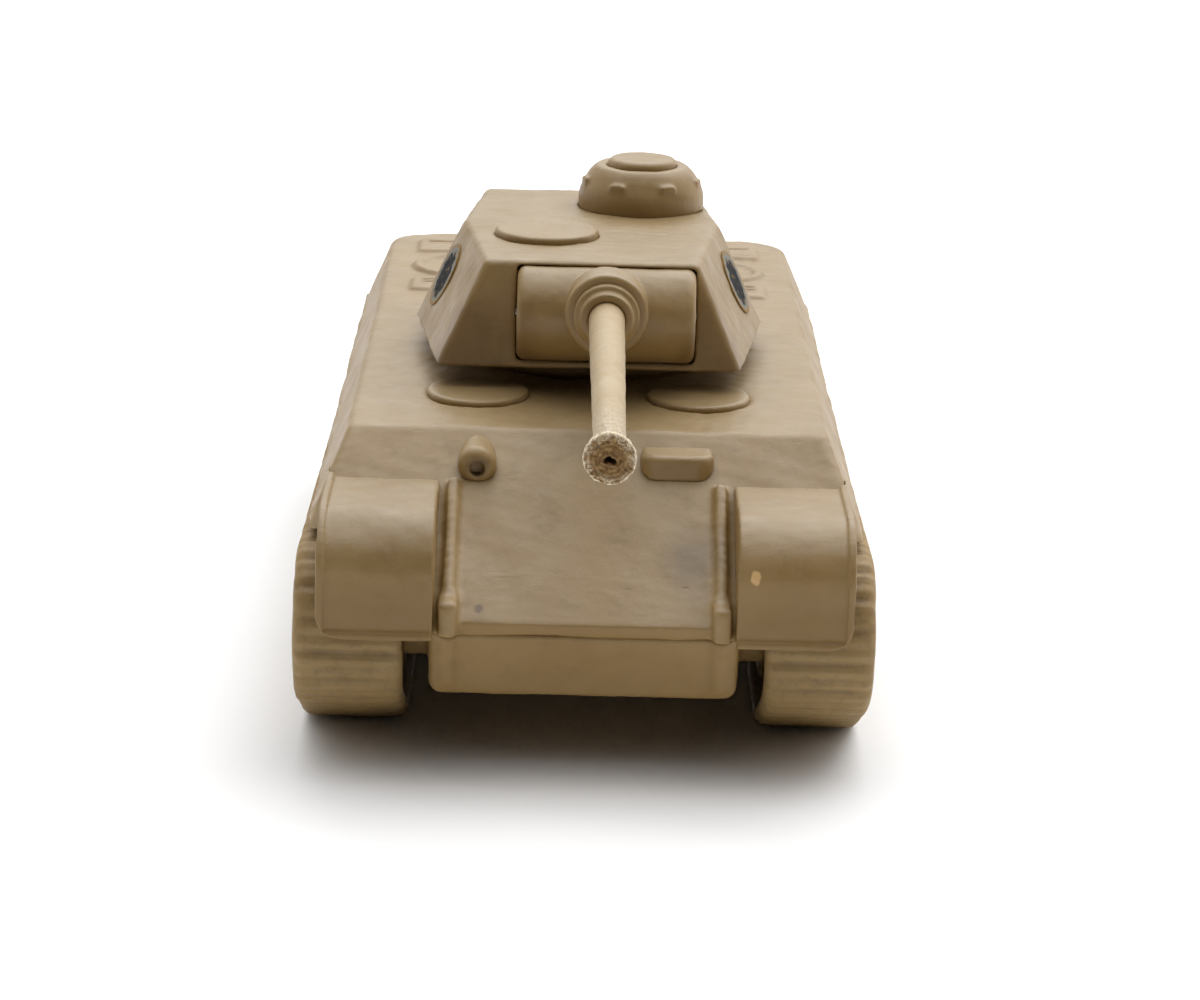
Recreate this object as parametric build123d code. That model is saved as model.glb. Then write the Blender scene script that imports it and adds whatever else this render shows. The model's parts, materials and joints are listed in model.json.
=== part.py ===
from build123d import *
import os
from math import atan, cos, degrees, pi, radians, sin, sqrt, tan

# Micro radio-controlled tank, scale 1:72, millimetres.
# +Z up, nose towards -Y, X across. The tank's left side is +X. The origin is on the ground
# under the centre of the whole box. "back" is always a distance behind the hull's nose edge.

# ---- overall ----
NOSE_Y = -37.0            # hull nose edge, where the glacis meets the nose plate
MUZZLE_BACK = -19.5       # gun muzzle, ahead of the nose
REAR_BACK = 93.5          # rearmost point, the exhaust pipes
WALL = 1.2                # moulded wall thickness

# ---- hull ----
NOSE_Z = 13.0
BELLY_Z = 6.3
NOSE_FOOT_BACK = 2.4      # where the nose plate meets the belly
NOSE_FOOT_R = 0.9
GLACIS_TOP_BACK = 16.5
RIB_X = 10.6              # centre of the raised side-plate edges on the glacis and nose
RIB_WIDTH = 0.9
RIB_RISE = 0.7
NOSE_RIB_RISE = 0.35
RIB_TOP_BACK = 11.5
LUG_WIDTH = 1.4           # towing lug at the foot of each side-plate edge
LUG_LOW_Z = 11.9
LUG_HIGH_Z = 14.8
LUG_FRONT_BACK = -0.85
BELLY_EDGE_R = 1.0
ROOF_Z = 24.2
ROOF_END_BACK = 90.0
SPONSON_Z = 18.0          # underside of the sponsons, and the joint between the hull halves
SPONSON_END_BACK = 88.0
TUB_HALF = 12.1
ROOF_HALF = 19.3
SPONSON_HALF = 22.0
REAR_CORNER_R = 4.0       # upright rear corners of the superstructure
EDGE_R = 0.8

# ---- front mudguards ----
GUARD_OUTER_X = 20.7
GUARD_FRONT_BACK = -1.5
GUARD_LOW_Z = 11.9
GUARD_TOP_Z = 21.4
GUARD_CURVE_BACK = 4.0    # where the curved shoulder runs level
GUARD_CURVE_LOW_Z = 16.9  # where it runs upright
GUARD_END_BACK = 14.0
GUARD_SHEET = 1.0
GUARD_RIM_DEPTH = 2.2
GUARD_CORNER_R = 1.9      # lower outer corner
GUARD_BEAD = 0.25         # raised bead along the outer and lower edges
GUARD_BEAD_WIDTH = 0.55

# ---- running gear ----
TRACK_X = 18.4            # centre plane of each track
TRACK_WIDTH = 8.6
BELT = 0.9
CLEAT = 0.35
HORN = 1.2                # height of the track's guide horns
HORN_WIDTH = 1.0
LINKS = 84
WHEEL_R = 5.5
WHEEL_RUN = 0.15          # gap between a wheel and the belt
WHEELS = 8
FIRST_WHEEL_BACK = 15.6
WHEEL_PITCH = 7.8
WHEEL_Z = CLEAT + BELT + WHEEL_RUN + WHEEL_R
DISC = 1.15               # thickness of one wheel disc
OUTER_DISC_OFFSET = 2.55  # inner face of the outer pair of discs, from the track's centre plane
INNER_DISC_OFFSET = 1.05  # inner face of the inner pair
HUB_R = 1.35
AXLE_R = 0.6
RUNNING = 0.05            # radial clearance of every turning fit
SPROCKET_BACK = 7.6
SPROCKET_Z = 10.6
SPROCKET_TEETH = 17
SPROCKET_BELT_R = 5.45    # inner face of the belt round the sprocket
SPROCKET_TIP_R = 5.2
SPROCKET_ROOT_R = 4.55
SPROCKET_CORE_R = 3.0
IDLER_BACK = 84.5
IDLER_Z = 9.4
IDLER_R = 4.35
IDLER_BELT_R = 4.5
SHAFT_R = 0.75
HOUSING_R = 2.6           # final-drive housings on the tub's sides
HOUSING_LENGTH = 2.2

# ---- drive ----
DRIVE_MODULE = 0.3
DRIVE_GEAR_TEETH = 16
DRIVE_PINION_TEETH = 10
DRIVE_GEAR_X = 9.6
DRIVE_GEAR_WIDTH = 1.0
MOTOR_R = 3.0
MOTOR_SHAFT_R = 0.4
MOTOR_BACK_X = 0.5
MOTOR_FRONT_X = 9.0
MOTOR_LIFT = 0.15         # the motor's axis above the sprocket's

# ---- turret ----
TURRET_BACK = 44.7        # traverse axis
TURRET_LOW_Z = 26.4
TURRET_TOP_Z = 35.2
TURRET_FRONT_BACK = 27.4
TURRET_FRONT_HALF = 12.75
TURRET_WIDE_BACK = 45.0
TURRET_WIDE_HALF = 15.2
TURRET_REAR_BACK = 61.0
TURRET_REAR_HALF = 13.3
TURRET_FRONT_LEAN = 9.7   # degrees from vertical
TURRET_SIDE_LEAN = 25.0
TURRET_REAR_LEAN = 15.0
COLLAR_R = 12.3
NECK_R = 11.82
RING_HOLE_R = 11.9
TRAVERSE_MODULE = 0.4
TRAVERSE_GEAR_TEETH = 66
TRAVERSE_PINION_TEETH = 12
TRAVERSE_GEAR_Z = 21.2
TRAVERSE_GEAR_WIDTH = 1.2

# ---- gun ----
GUN_X = 1.3
GUN_Z = 31.95
TRUNNION_BACK = 28.9
TRUNNION_Z = 30.8
TRUNNION_R = 0.42
MANTLET_R = 3.85
MANTLET_HALF = 7.3
MANTLET_GAP = 0.15
BOSS_R = 3.3              # swelling round the gun
BOSS_FRONT_BACK = 23.6
BOSS_REAR_BACK = 27.0     # short of the turret's roof when the gun is raised
COLLAR_FRONT_BACK = 21.9
BARREL_ROOT_R = 1.48
BARREL_TIP_R = 1.27
MUZZLE_R = 1.83
BORE_R = 0.35

# ---- roof fittings ----
CUPOLA_X = 4.4
CUPOLA_BACK = 52.7
CUPOLA_R = 5.6
CUPOLA_TOP_R = 3.9
CUPOLA_HEIGHT = 4.0
PERISCOPES = 7
LOADER_X = -3.85
LOADER_BACK = 39.4
LOADER_R = 4.45
HULL_HATCH_X = 9.2
HULL_HATCH_BACK = 27.0
HULL_HATCH_R = 4.3
VISOR_INNER_X = 4.2
VISOR_OUTER_X = 10.1
VISOR_FRONT_BACK = 12.1
VISOR_TOP_Z = 23.3
GUN_PORT_X = -8.8         # hull machine-gun blister
GUN_PORT_Z = 22.2
GUN_PORT_R = 1.55
GUN_PORT_FRONT_BACK = 11.6
EMBLEM_R = 2.9
EMBLEM_THICKNESS = 0.12
EMBLEM_BACK = 41.2
EMBLEM_Z = 31.1

# ---- under the belly ----
DOOR_FRONT_BACK = 31.0
DOOR_REAR_BACK = 57.0
DOOR_HALF = 8.2
SCREW_X = 8.3
SCREW_BACKS = (25.0, 79.0)
SWITCH_BACK = 67.6        # rear face of the switch's stem at rest, against its front stop

SOCKET_R = 1.2
SOCKET_Z = 11.5

GLACIS_ANGLE = atan((ROOF_Z - NOSE_Z) / GLACIS_TOP_BACK)
REAR_ANGLE = atan((ROOF_END_BACK - SPONSON_END_BACK) / (ROOF_Z - SPONSON_Z))
SIDE_ANGLE = atan((SPONSON_HALF - ROOF_HALF) / (ROOF_Z - SPONSON_Z))
NOSE_ANGLE = atan(NOSE_FOOT_BACK / (NOSE_Z - BELLY_Z))
MID = Align.CENTER
LOW = Align.MIN


def y_at(back):
    """Y of a point that lies this far behind the nose edge."""
    return NOSE_Y + back


def block(x0, x1, back0, back1, z0, z1):
    """Plain box between two corners, with its length given behind the nose."""
    box = Box(x1 - x0, back1 - back0, z1 - z0, align=(LOW, LOW, LOW))
    return Pos(x0, y_at(back0), z0) * box


def rod_x(radius, x0, x1, back, z):
    """Cylinder along X."""
    rod = Cylinder(radius, x1 - x0, align=(MID, MID, LOW))
    return Pos(x0, y_at(back), z) * Rot(0, 90, 0) * rod


def rod_y(radius, back0, back1, x, z):
    """Cylinder along Y."""
    rod = Cylinder(radius, back1 - back0, align=(MID, MID, LOW))
    return Pos(x, y_at(back0), z) * Rot(-90, 0, 0) * rod


def rod_z(radius, z0, z1, x, back):
    """Upright cylinder."""
    return Pos(x, y_at(back), z0) * Cylinder(radius, z1 - z0, align=(MID, MID, LOW))


def keep_behind(solid, point, normal, inset=0.0):
    """Cuts off what lies on the normal's side of a plane, moved in by inset."""
    direction = Vector(*normal).normalized()
    origin = Vector(*point) - direction * inset
    cutter = Box(300, 300, 150, align=(MID, MID, LOW))
    return solid - Plane(origin=origin, z_dir=direction) * cutter


def cut_glacis(solid, inset):
    """Cuts a solid along the glacis plane."""
    normal = (0, -sin(GLACIS_ANGLE), cos(GLACIS_ANGLE))
    return keep_behind(solid, (0, NOSE_Y, NOSE_Z), normal, inset)


def cut_rear(solid, inset):
    """Cuts a solid along the undercut rear plate."""
    normal = (0, cos(REAR_ANGLE), -sin(REAR_ANGLE))
    return keep_behind(solid, (0, y_at(SPONSON_END_BACK), SPONSON_Z), normal, inset)


def cut_nose(solid, inset):
    """Cuts a solid along the nose plate under the glacis."""
    normal = (0, -cos(NOSE_ANGLE), -sin(NOSE_ANGLE))
    return keep_behind(solid, (0, NOSE_Y, NOSE_Z), normal, inset)


def side_face(points):
    """Closed face in the side view from (back, height) corners."""
    outline = Polyline([(y_at(back), z) for back, z in points], close=True)
    return Plane.YZ * make_face(outline)


def extrude_x(face, x0, x1):
    """Extrudes a side-view face across the tank."""
    return Pos(x0, 0, 0) * extrude(face, amount=x1 - x0, dir=(1, 0, 0))


def gear(module, teeth, width, phase=0.0):
    """Spur gear on local Z with one tooth centred on the phase angle, in degrees."""
    pitch_r = module * teeth / 2
    flank = ((-1.2, -0.30), (0.0, -0.21), (0.85, -0.10), (0.85, 0.10), (0.0, 0.21), (-1.2, 0.30))
    corners = []
    for tooth in range(teeth):
        for rise, share in flank:
            angle = radians(phase) + 2 * pi * (tooth + share) / teeth
            radius = pitch_r + rise * module
            corners.append((radius * cos(angle), radius * sin(angle)))
    return extrude(make_face(Polyline(corners, close=True)), amount=width)


def mirrored(shape):
    """The same piece on the tank's other side."""
    return mirror(shape, about=Plane.YZ)


# ------------------------------------------------------------------ hull

def exhaust_pipe(x):
    """Upright pipe on a short arm out of the rear plate."""
    pipe_r = 1.2
    pipe_back = REAR_BACK - pipe_r
    arm = rod_y(0.9, SPONSON_END_BACK - 3.2, pipe_back, x, 13.5)
    pipe = rod_z(pipe_r, 12.0, 21.8, x, pipe_back)
    pipe = fillet(pipe.edges().filter_by(GeomType.CIRCLE).sort_by(Axis.Z)[:1], 0.5)
    mouth = rod_z(0.75, 20.0, 22.0, x, pipe_back)
    return arm + pipe - mouth


def lower_hull(exhausts):
    """Tub with its final-drive housings, axle holes, posts and openings."""
    tub = block(-TUB_HALF, TUB_HALF, -5, 95, BELLY_Z, SPONSON_Z)
    tub = cut_nose(cut_rear(cut_glacis(tub, WALL), 0), 0)
    foot_edge = tub.edges().filter_by(Axis.X).group_by(Axis.Z)[0].sort_by(Axis.Y)[:1]
    tub = fillet(foot_edge, NOSE_FOOT_R)
    long_edges = tub.edges().filter_by(Axis.Y).sort_by(Axis.Z)[:2]
    tub = fillet(long_edges, BELLY_EDGE_R)
    inside = TUB_HALF - WALL
    cavity = block(-inside, inside, -5, 95, BELLY_Z + WALL, SPONSON_Z + 10)
    tub -= cut_nose(cut_rear(cavity, WALL), WALL)
    floor = BELLY_Z + WALL
    for side in (-1, 1):
        x0, x1 = sorted((side * TUB_HALF, side * (TUB_HALF + HOUSING_LENGTH)))
        tub += rod_x(HOUSING_R, x0, x1, SPROCKET_BACK, SPROCKET_Z)
        x0, x1 = sorted((side * (inside - 1), side * (TUB_HALF + 3)))
        tub -= rod_x(SHAFT_R + RUNNING, x0, x1, SPROCKET_BACK, SPROCKET_Z)
        x0, x1 = sorted((side * (inside - 1.7), side * inside))
        tub += block(x0, x1, 30, 56, 12.8, 14.0)
    pillar = rod_z(3.7, floor, 13.0, 0, TURRET_BACK + traverse_distance())
    tub += pillar - rod_z(MOTOR_R + RUNNING, 10.9, 14.0, 0, TURRET_BACK + traverse_distance())
    tub -= block(-DOOR_HALF, DOOR_HALF, DOOR_FRONT_BACK, DOOR_REAR_BACK, BELLY_Z - 1, floor + 0.5)
    tub -= block(-2.1, 2.1, DOOR_REAR_BACK - 0.1, 60.3, BELLY_Z - 1, 7.3)
    tub -= rod_z(0.5, 6, 10.2, 0, 58.7)
    tub -= block(-0.9, 0.9, SWITCH_BACK - 2.0, SWITCH_BACK + 2.5, BELLY_Z - 1, floor + 0.5)
    for x in (-SCREW_X, SCREW_X):
        for back in SCREW_BACKS:
            tub -= rod_z(0.65, BELLY_Z - 1, floor + 1, x, back)
            tub -= rod_z(1.2, BELLY_Z - 1, BELLY_Z + 0.75, x, back)
    for x in (-RIB_X, RIB_X):
        bar = side_plate_edge(x, -3.0, BELLY_Z + NOSE_FOOT_R, NOSE_Z)
        tub += cut_nose(cut_glacis(bar, WALL), -NOSE_RIB_RISE) - cut_nose(bar, WALL / 2)
    tub -= rod_y(SOCKET_R, 80, 90, 0, SOCKET_Z)
    return tub - exhausts


def side_plate_edge(x, back, z0, z1):
    """Upright bar that becomes the raised edge of a side plate."""
    return block(x - RIB_WIDTH / 2, x + RIB_WIDTH / 2, back, RIB_TOP_BACK, z0, z1)


def hull_block(inset, low_z):
    """Superstructure block with every face moved in by inset."""
    solid = block(-30, 30, -5, 95, low_z, ROOF_Z - inset)
    for side in (-1, 1):
        normal = (side * cos(SIDE_ANGLE), 0, sin(SIDE_ANGLE))
        solid = keep_behind(solid, (side * SPONSON_HALF, 0, SPONSON_Z), normal, inset)
    return cut_rear(cut_glacis(solid, inset), inset)


def grille(x, back, width, length, slots):
    """Slots of one raised engine-deck grille."""
    cutters = []
    for index in range(slots):
        slot_back = back - length / 2 + (index + 0.5) * length / slots
        cutters.append(block(x - width / 2, x + width / 2, slot_back - 0.25, slot_back + 0.25,
                             ROOF_Z - 0.1, ROOF_Z + 1))
    return cutters


def tow_lug(x):
    """Rounded towing lug over the nose edge."""
    lug = block(x - LUG_WIDTH / 2, x + LUG_WIDTH / 2, LUG_FRONT_BACK, 2.0, LUG_LOW_Z, LUG_HIGH_Z)
    lug = fillet(lug.edges().filter_by(Axis.X).sort_by(Axis.Y)[:2], 0.5)
    return lug - cut_glacis(lug, WALL)


def near_rear_corner(edge):
    """True for the edges that the rounded rear corners have left."""
    centre = edge.center()
    return centre.Y > y_at(SPONSON_END_BACK - REAR_CORNER_R) and abs(centre.X) > ROOF_HALF - REAR_CORNER_R


def upper_hull(fittings):
    """Upper shell: glacis, sponsons, roof, engine deck and screw posts."""
    shell = hull_block(0, SPONSON_Z)
    upright = shell.edges().filter_by(lambda e: SPONSON_Z + 1 < e.center().Z < ROOF_Z - 1)
    shell = fillet(upright.sort_by(Axis.Y)[-2:], REAR_CORNER_R)
    shell = fillet(shell.edges().filter_by(lambda e: e.center().Z > SPONSON_Z + 0.5
                                           and e.geom_type != GeomType.ELLIPSE
                                           and not near_rear_corner(e)), EDGE_R)
    centre = block(-TUB_HALF, TUB_HALF, -5, 20, 5, ROOF_Z - 2)
    centre = cut_nose(cut_glacis(centre, 0), 0)
    shell += centre - cut_glacis(block(-20, 20, -6, 30, 0, 30), WALL)
    cavity = hull_block(WALL, SPONSON_Z + 1.0)
    for side in (-1, 1):
        x0, x1 = sorted((side * (ROOF_HALF - REAR_CORNER_R), side * SPONSON_HALF))
        cavity -= block(x0, x1, SPONSON_END_BACK - REAR_CORNER_R, 95, 5, 30)
    inside = TUB_HALF - WALL
    shell -= cavity
    shell -= cut_rear(cut_glacis(block(-inside, inside, 0, 95, 5, SPONSON_Z + 2), WALL), WALL)
    for x in (-SCREW_X, SCREW_X):
        for back in SCREW_BACKS:
            post = rod_z(1.6, BELLY_Z + WALL, ROOF_Z - 0.6, x, back)
            shell += post - rod_z(0.5, 5, 14.5, x, back)
    for x in (-RIB_X, RIB_X):
        bar = cut_nose(side_plate_edge(x, -3.0, 12.0, ROOF_Z), -NOSE_RIB_RISE)
        shell += cut_glacis(bar, -RIB_RISE) - cut_glacis(bar, WALL / 2)
        shell += tow_lug(x)
    shell -= rod_z(RING_HOLE_R, 20, 30, 0, TURRET_BACK)
    deck = block(-6.5, 6.5, 64.0, 83.0, ROOF_Z - 0.3, ROOF_Z + 0.35)
    shell += fillet(deck.edges().filter_by(Axis.Z), 1.0)
    for x in (-12.5, 12.5):
        shell += rod_z(4.2, ROOF_Z - 0.3, ROOF_Z + 0.5, x, 74.0)
        shell -= rod_z(3.4, ROOF_Z + 0.1, ROOF_Z + 1, x, 74.0)
        shell += rod_z(1.2, ROOF_Z - 0.3, ROOF_Z + 0.5, x, 74.0)
        for back in (66.0, 82.5):
            frame = block(x - 4, x + 4, back - 2.4, back + 2.4, ROOF_Z - 0.3, ROOF_Z + 0.4)
            shell += frame
            for slot in grille(x, back, 6.6, 4.0, 4):
                shell -= slot
    for fitting in fittings:
        shell -= fitting
    return shell


def mudguard():
    """Left front mudguard: curved sheet with a beaded rim and a wall against the tub."""
    def outline(inset):
        """Side view: upright front, curved shoulder, level top."""
        top = GUARD_TOP_Z - inset
        front = GUARD_FRONT_BACK + inset
        reach = GUARD_CURVE_BACK - front
        rise = top - GUARD_CURVE_LOW_Z
        shoulder = Ellipse(reach, rise) & Rectangle(reach, rise, align=(Align.MAX, LOW))
        face = Pos(y_at(GUARD_CURVE_BACK), GUARD_CURVE_LOW_Z) * shoulder
        length = GUARD_END_BACK - front
        drop = GUARD_CURVE_LOW_Z - GUARD_LOW_Z
        face += Pos(y_at(front), GUARD_LOW_Z) * Rectangle(length, drop, align=(LOW, LOW))
        level = GUARD_END_BACK - GUARD_CURVE_BACK
        rear = Rectangle(level, top - GUARD_LOW_Z, align=(LOW, LOW))
        face += Pos(y_at(GUARD_CURVE_BACK), GUARD_LOW_Z) * rear
        return Plane.YZ * face

    guard = extrude_x(outline(GUARD_BEAD), TUB_HALF, GUARD_OUTER_X)
    outer_strip = block(GUARD_OUTER_X - GUARD_BEAD_WIDTH, GUARD_OUTER_X, -5, 15, GUARD_LOW_Z, GUARD_TOP_Z)
    lower_strip = block(TUB_HALF, GUARD_OUTER_X, -5, 5, GUARD_LOW_Z, GUARD_LOW_Z + GUARD_BEAD_WIDTH)
    guard += extrude_x(outline(0), TUB_HALF, GUARD_OUTER_X) & (outer_strip + lower_strip)
    guard -= extrude_x(outline(GUARD_SHEET), TUB_HALF + 0.9, GUARD_OUTER_X - 0.7)
    guard -= extrude_x(outline(GUARD_RIM_DEPTH), TUB_HALF + 0.5, GUARD_OUTER_X + 1)
    guard -= hull_block(0, SPONSON_Z)
    guard -= rod_x(HOUSING_R + 0.1, TUB_HALF - 1, GUARD_OUTER_X, SPROCKET_BACK, SPROCKET_Z)
    guard -= block(TUB_HALF - 1, GUARD_OUTER_X + 1, 11.0, 20.0, GUARD_LOW_Z - 1, SPONSON_Z)
    corner_x = GUARD_OUTER_X - GUARD_CORNER_R
    corner_z = GUARD_LOW_Z + GUARD_CORNER_R
    corner = block(corner_x, GUARD_OUTER_X + 1, -5, 20, GUARD_LOW_Z - 1, corner_z)
    return guard - (corner - rod_y(GUARD_CORNER_R, -6, 21, corner_x, corner_z))


def driver_visor():
    """Raised visor housing at the top of the glacis, with rounded ends."""
    housing = block(VISOR_INNER_X, VISOR_OUTER_X, VISOR_FRONT_BACK, 17.5, 20.0, VISOR_TOP_Z)
    housing = fillet(housing.edges().filter_by(Axis.Z).sort_by(Axis.Y)[:2], 1.4)
    housing = fillet(housing.edges().group_by(Axis.Z)[-1], 0.5)
    return housing - hull_block(0, SPONSON_Z)


def machine_gun_mount():
    """Rounded blister for the bow machine gun."""
    blister = rod_y(GUN_PORT_R, GUN_PORT_FRONT_BACK, 18.0, GUN_PORT_X, GUN_PORT_Z)
    blister = fillet(blister.edges().filter_by(GeomType.CIRCLE).sort_by(Axis.Y)[:1], 0.8)
    port_z = GUN_PORT_Z - 0.2
    blister -= rod_y(0.6, GUN_PORT_FRONT_BACK - 1, GUN_PORT_FRONT_BACK + 0.9, GUN_PORT_X, port_z)
    return blister - hull_block(0, SPONSON_Z)


def hull_hatch(x):
    """Crew hatch let into the hull roof."""
    lid = rod_z(HULL_HATCH_R, ROOF_Z - 0.3, ROOF_Z + 0.45, x, HULL_HATCH_BACK)
    return fillet(lid.edges().filter_by(GeomType.CIRCLE).sort_by(Axis.Z)[-1:], 0.3)


# ------------------------------------------------------------------ running gear

def support_circles():
    """The round pieces that the track runs over: (back, height, radius to the belt's inner face)."""
    last = FIRST_WHEEL_BACK + (WHEELS - 1) * WHEEL_PITCH
    return (
        (SPROCKET_BACK, SPROCKET_Z, SPROCKET_BELT_R),
        (FIRST_WHEEL_BACK, WHEEL_Z, WHEEL_R + WHEEL_RUN),
        (last, WHEEL_Z, WHEEL_R + WHEEL_RUN),
        (IDLER_BACK, IDLER_Z, IDLER_BELT_R),
    )


def loop_outline(grow):
    """Track loop in the side view, grown outwards from the belt's inner face."""
    edges = []
    for back, z, radius in support_circles():
        edges += (Pos(y_at(back), z) * Circle(radius + grow)).edges()
    return make_hull(edges)


def toothed_outline(grow, height, share):
    """Track loop with one square tooth per link, outwards or, with a negative height, inwards."""
    loop = loop_outline(grow)
    wire = loop.wire()
    centre = loop.center()
    corners = []
    for link in range(LINKS):
        for part, rise in ((0, 0), (0, height), (share, height), (share, 0)):
            place = (link + part) / LINKS
            point = wire.position_at(place)
            tangent = wire.tangent_at(place)
            normal = Vector(tangent.Y, -tangent.X)
            if normal.dot(point - centre) < 0:
                normal = -normal
            corner = point + normal * rise
            corners.append((corner.X, corner.Y))
    return make_face(Polyline(corners, close=True))


def track():
    """Left track: a closed belt with a cleat and a guide horn on every link."""
    half = TRACK_WIDTH / 2
    ring = toothed_outline(BELT, CLEAT, 0.62) - loop_outline(0)
    belt = extrude_x(Plane.YZ * ring, TRACK_X - half, TRACK_X + half)
    horns = loop_outline(0.05) - toothed_outline(0, -HORN, 0.4)
    return belt + extrude_x(Plane.YZ * horns, TRACK_X - HORN_WIDTH / 2, TRACK_X + HORN_WIDTH / 2)


def wheel_blank(offset, back, z):
    """Left road wheel: two dished discs on one hub, offset each way from the track's centre plane."""
    reach = offset + DISC
    wheel = rod_x(HUB_R, TRACK_X - reach, TRACK_X + reach, back, z)
    for side in (-1, 1):
        x0, x1 = sorted((TRACK_X + side * offset, TRACK_X + side * reach))
        wheel += rod_x(WHEEL_R, x0, x1, back, z)
    dish_r = WHEEL_R - 1.1
    dish = rod_x(dish_r, TRACK_X + reach - 0.4, TRACK_X + reach + 1, back, z)
    wheel -= dish - rod_x(2.2, TRACK_X, TRACK_X + reach + 2, back, z)
    for index in range(8):
        angle = 2 * pi * index / 8
        bolt_back = back + 3.3 * cos(angle)
        bolt_z = z + 3.3 * sin(angle)
        wheel += rod_x(0.32, TRACK_X + reach - 0.5, TRACK_X + reach - 0.15, bolt_back, bolt_z)
    return wheel - rod_x(AXLE_R + RUNNING, TRACK_X - 6, TRACK_X + 6, back, z)


def wheel_offset(index):
    """Odd and even wheels interleave: inner pair first, then outer pair."""
    return INNER_DISC_OFFSET if index % 2 == 0 else OUTER_DISC_OFFSET


def wheel_back(index):
    return FIRST_WHEEL_BACK + index * WHEEL_PITCH


def axle(reach, back, z):
    """Left stub axle: pressed into the tub, with a shoulder and a retaining head."""
    pin = rod_x(AXLE_R, TUB_HALF - 1.0, TRACK_X + reach + 0.3, back, z)
    pin += rod_x(1.1, TUB_HALF, TRACK_X - reach - 0.1, back, z)
    return pin + rod_x(1.0, TRACK_X + reach + 0.1, TRACK_X + reach + 0.5, back, z)


def left_axles():
    """All stub axles of one side."""
    axles = [axle(wheel_offset(i) + DISC, wheel_back(i), WHEEL_Z) for i in range(WHEELS)]
    axles.append(axle(3.5, IDLER_BACK, IDLER_Z))
    return axles


def idler():
    """Left rear idler: two rims on a hub with spokes cut as holes."""
    wheel = rod_x(1.6, TRACK_X - 3.5, TRACK_X + 3.5, IDLER_BACK, IDLER_Z)
    for side in (-1, 1):
        x0, x1 = sorted((TRACK_X + side * 2.1, TRACK_X + side * 3.3))
        wheel += rod_x(IDLER_R, x0, x1, IDLER_BACK, IDLER_Z)
    for index in range(7):
        angle = 2 * pi * index / 7
        hole_back = IDLER_BACK + 2.75 * cos(angle)
        hole_z = IDLER_Z + 2.75 * sin(angle)
        wheel -= rod_x(0.75, TRACK_X - 5, TRACK_X + 5, hole_back, hole_z)
    return wheel - rod_x(AXLE_R + RUNNING, TRACK_X - 6, TRACK_X + 6, IDLER_BACK, IDLER_Z)


def sprocket():
    """Left drive sprocket: two toothed discs on a drum, with a domed hub cap."""
    corners = []
    for tooth in range(SPROCKET_TEETH):
        for radius, share in ((SPROCKET_ROOT_R, 0), (SPROCKET_ROOT_R, 0.35), (SPROCKET_TIP_R, 0.52),
                              (SPROCKET_TIP_R, 0.83)):
            angle = 2 * pi * (tooth + share) / SPROCKET_TEETH
            corners.append((SPROCKET_BACK + radius * cos(angle), SPROCKET_Z + radius * sin(angle)))
    face = side_face(corners)
    reach = OUTER_DISC_OFFSET + DISC
    wheel = rod_x(SPROCKET_CORE_R, TRACK_X - reach, TRACK_X + reach, SPROCKET_BACK, SPROCKET_Z)
    for side in (-1, 1):
        x0, x1 = sorted((TRACK_X + side * OUTER_DISC_OFFSET, TRACK_X + side * reach))
        wheel += extrude_x(face, x0, x1)
    for index in range(SPROCKET_TEETH // 2):
        angle = 2 * pi * index / (SPROCKET_TEETH // 2)
        hole_back = SPROCKET_BACK + 3.7 * cos(angle)
        hole_z = SPROCKET_Z + 3.7 * sin(angle)
        wheel -= rod_x(0.4, TRACK_X + reach - 0.5, TRACK_X + reach + 1, hole_back, hole_z)
    cap = rod_x(1.9, TRACK_X + reach, TRACK_X + reach + 0.5, SPROCKET_BACK, SPROCKET_Z)
    wheel += chamfer(cap.edges().filter_by(GeomType.CIRCLE).sort_by(Axis.X)[-1:], 0.3)
    return wheel - rod_x(SHAFT_R, TRACK_X - 6, TRACK_X + reach - 0.4, SPROCKET_BACK, SPROCKET_Z)


def drive_shaft():
    """Left drive shaft with its gear inside the tub."""
    end = TRACK_X + OUTER_DISC_OFFSET + DISC - 0.4
    shaft = rod_x(SHAFT_R, DRIVE_GEAR_X, end, SPROCKET_BACK, SPROCKET_Z)
    wheel = gear(DRIVE_MODULE, DRIVE_GEAR_TEETH, DRIVE_GEAR_WIDTH)
    return shaft + Pos(DRIVE_GEAR_X, y_at(SPROCKET_BACK), SPROCKET_Z) * mesh_frame() * wheel


# ------------------------------------------------------------------ drive

def drive_distance():
    """Distance between the drive shaft and the motor's axis."""
    return DRIVE_MODULE * (DRIVE_GEAR_TEETH + DRIVE_PINION_TEETH) / 2


def motor_back():
    return SPROCKET_BACK + sqrt(drive_distance() ** 2 - MOTOR_LIFT ** 2)


def motor_z():
    return SPROCKET_Z + MOTOR_LIFT


def mesh_frame():
    """Turns a gear from local Z to X, with its zero angle along the line to the motor's axis."""
    lean = degrees(atan(MOTOR_LIFT / (motor_back() - SPROCKET_BACK)))
    return Rot(lean, 0, 0) * Plane.YZ.location


def drive_motor():
    """Left drive motor: round can, end cap and front bearing."""
    can = rod_x(MOTOR_R, MOTOR_BACK_X, MOTOR_FRONT_X - 0.5, motor_back(), motor_z())
    can = fillet(can.edges().filter_by(GeomType.CIRCLE), 0.3)
    nose = rod_x(1.0, MOTOR_FRONT_X - 0.6, MOTOR_FRONT_X, motor_back(), motor_z())
    bore = rod_x(MOTOR_SHAFT_R + RUNNING, MOTOR_FRONT_X - 1.6, MOTOR_FRONT_X + 1, motor_back(), motor_z())
    return can + nose - bore


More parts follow.
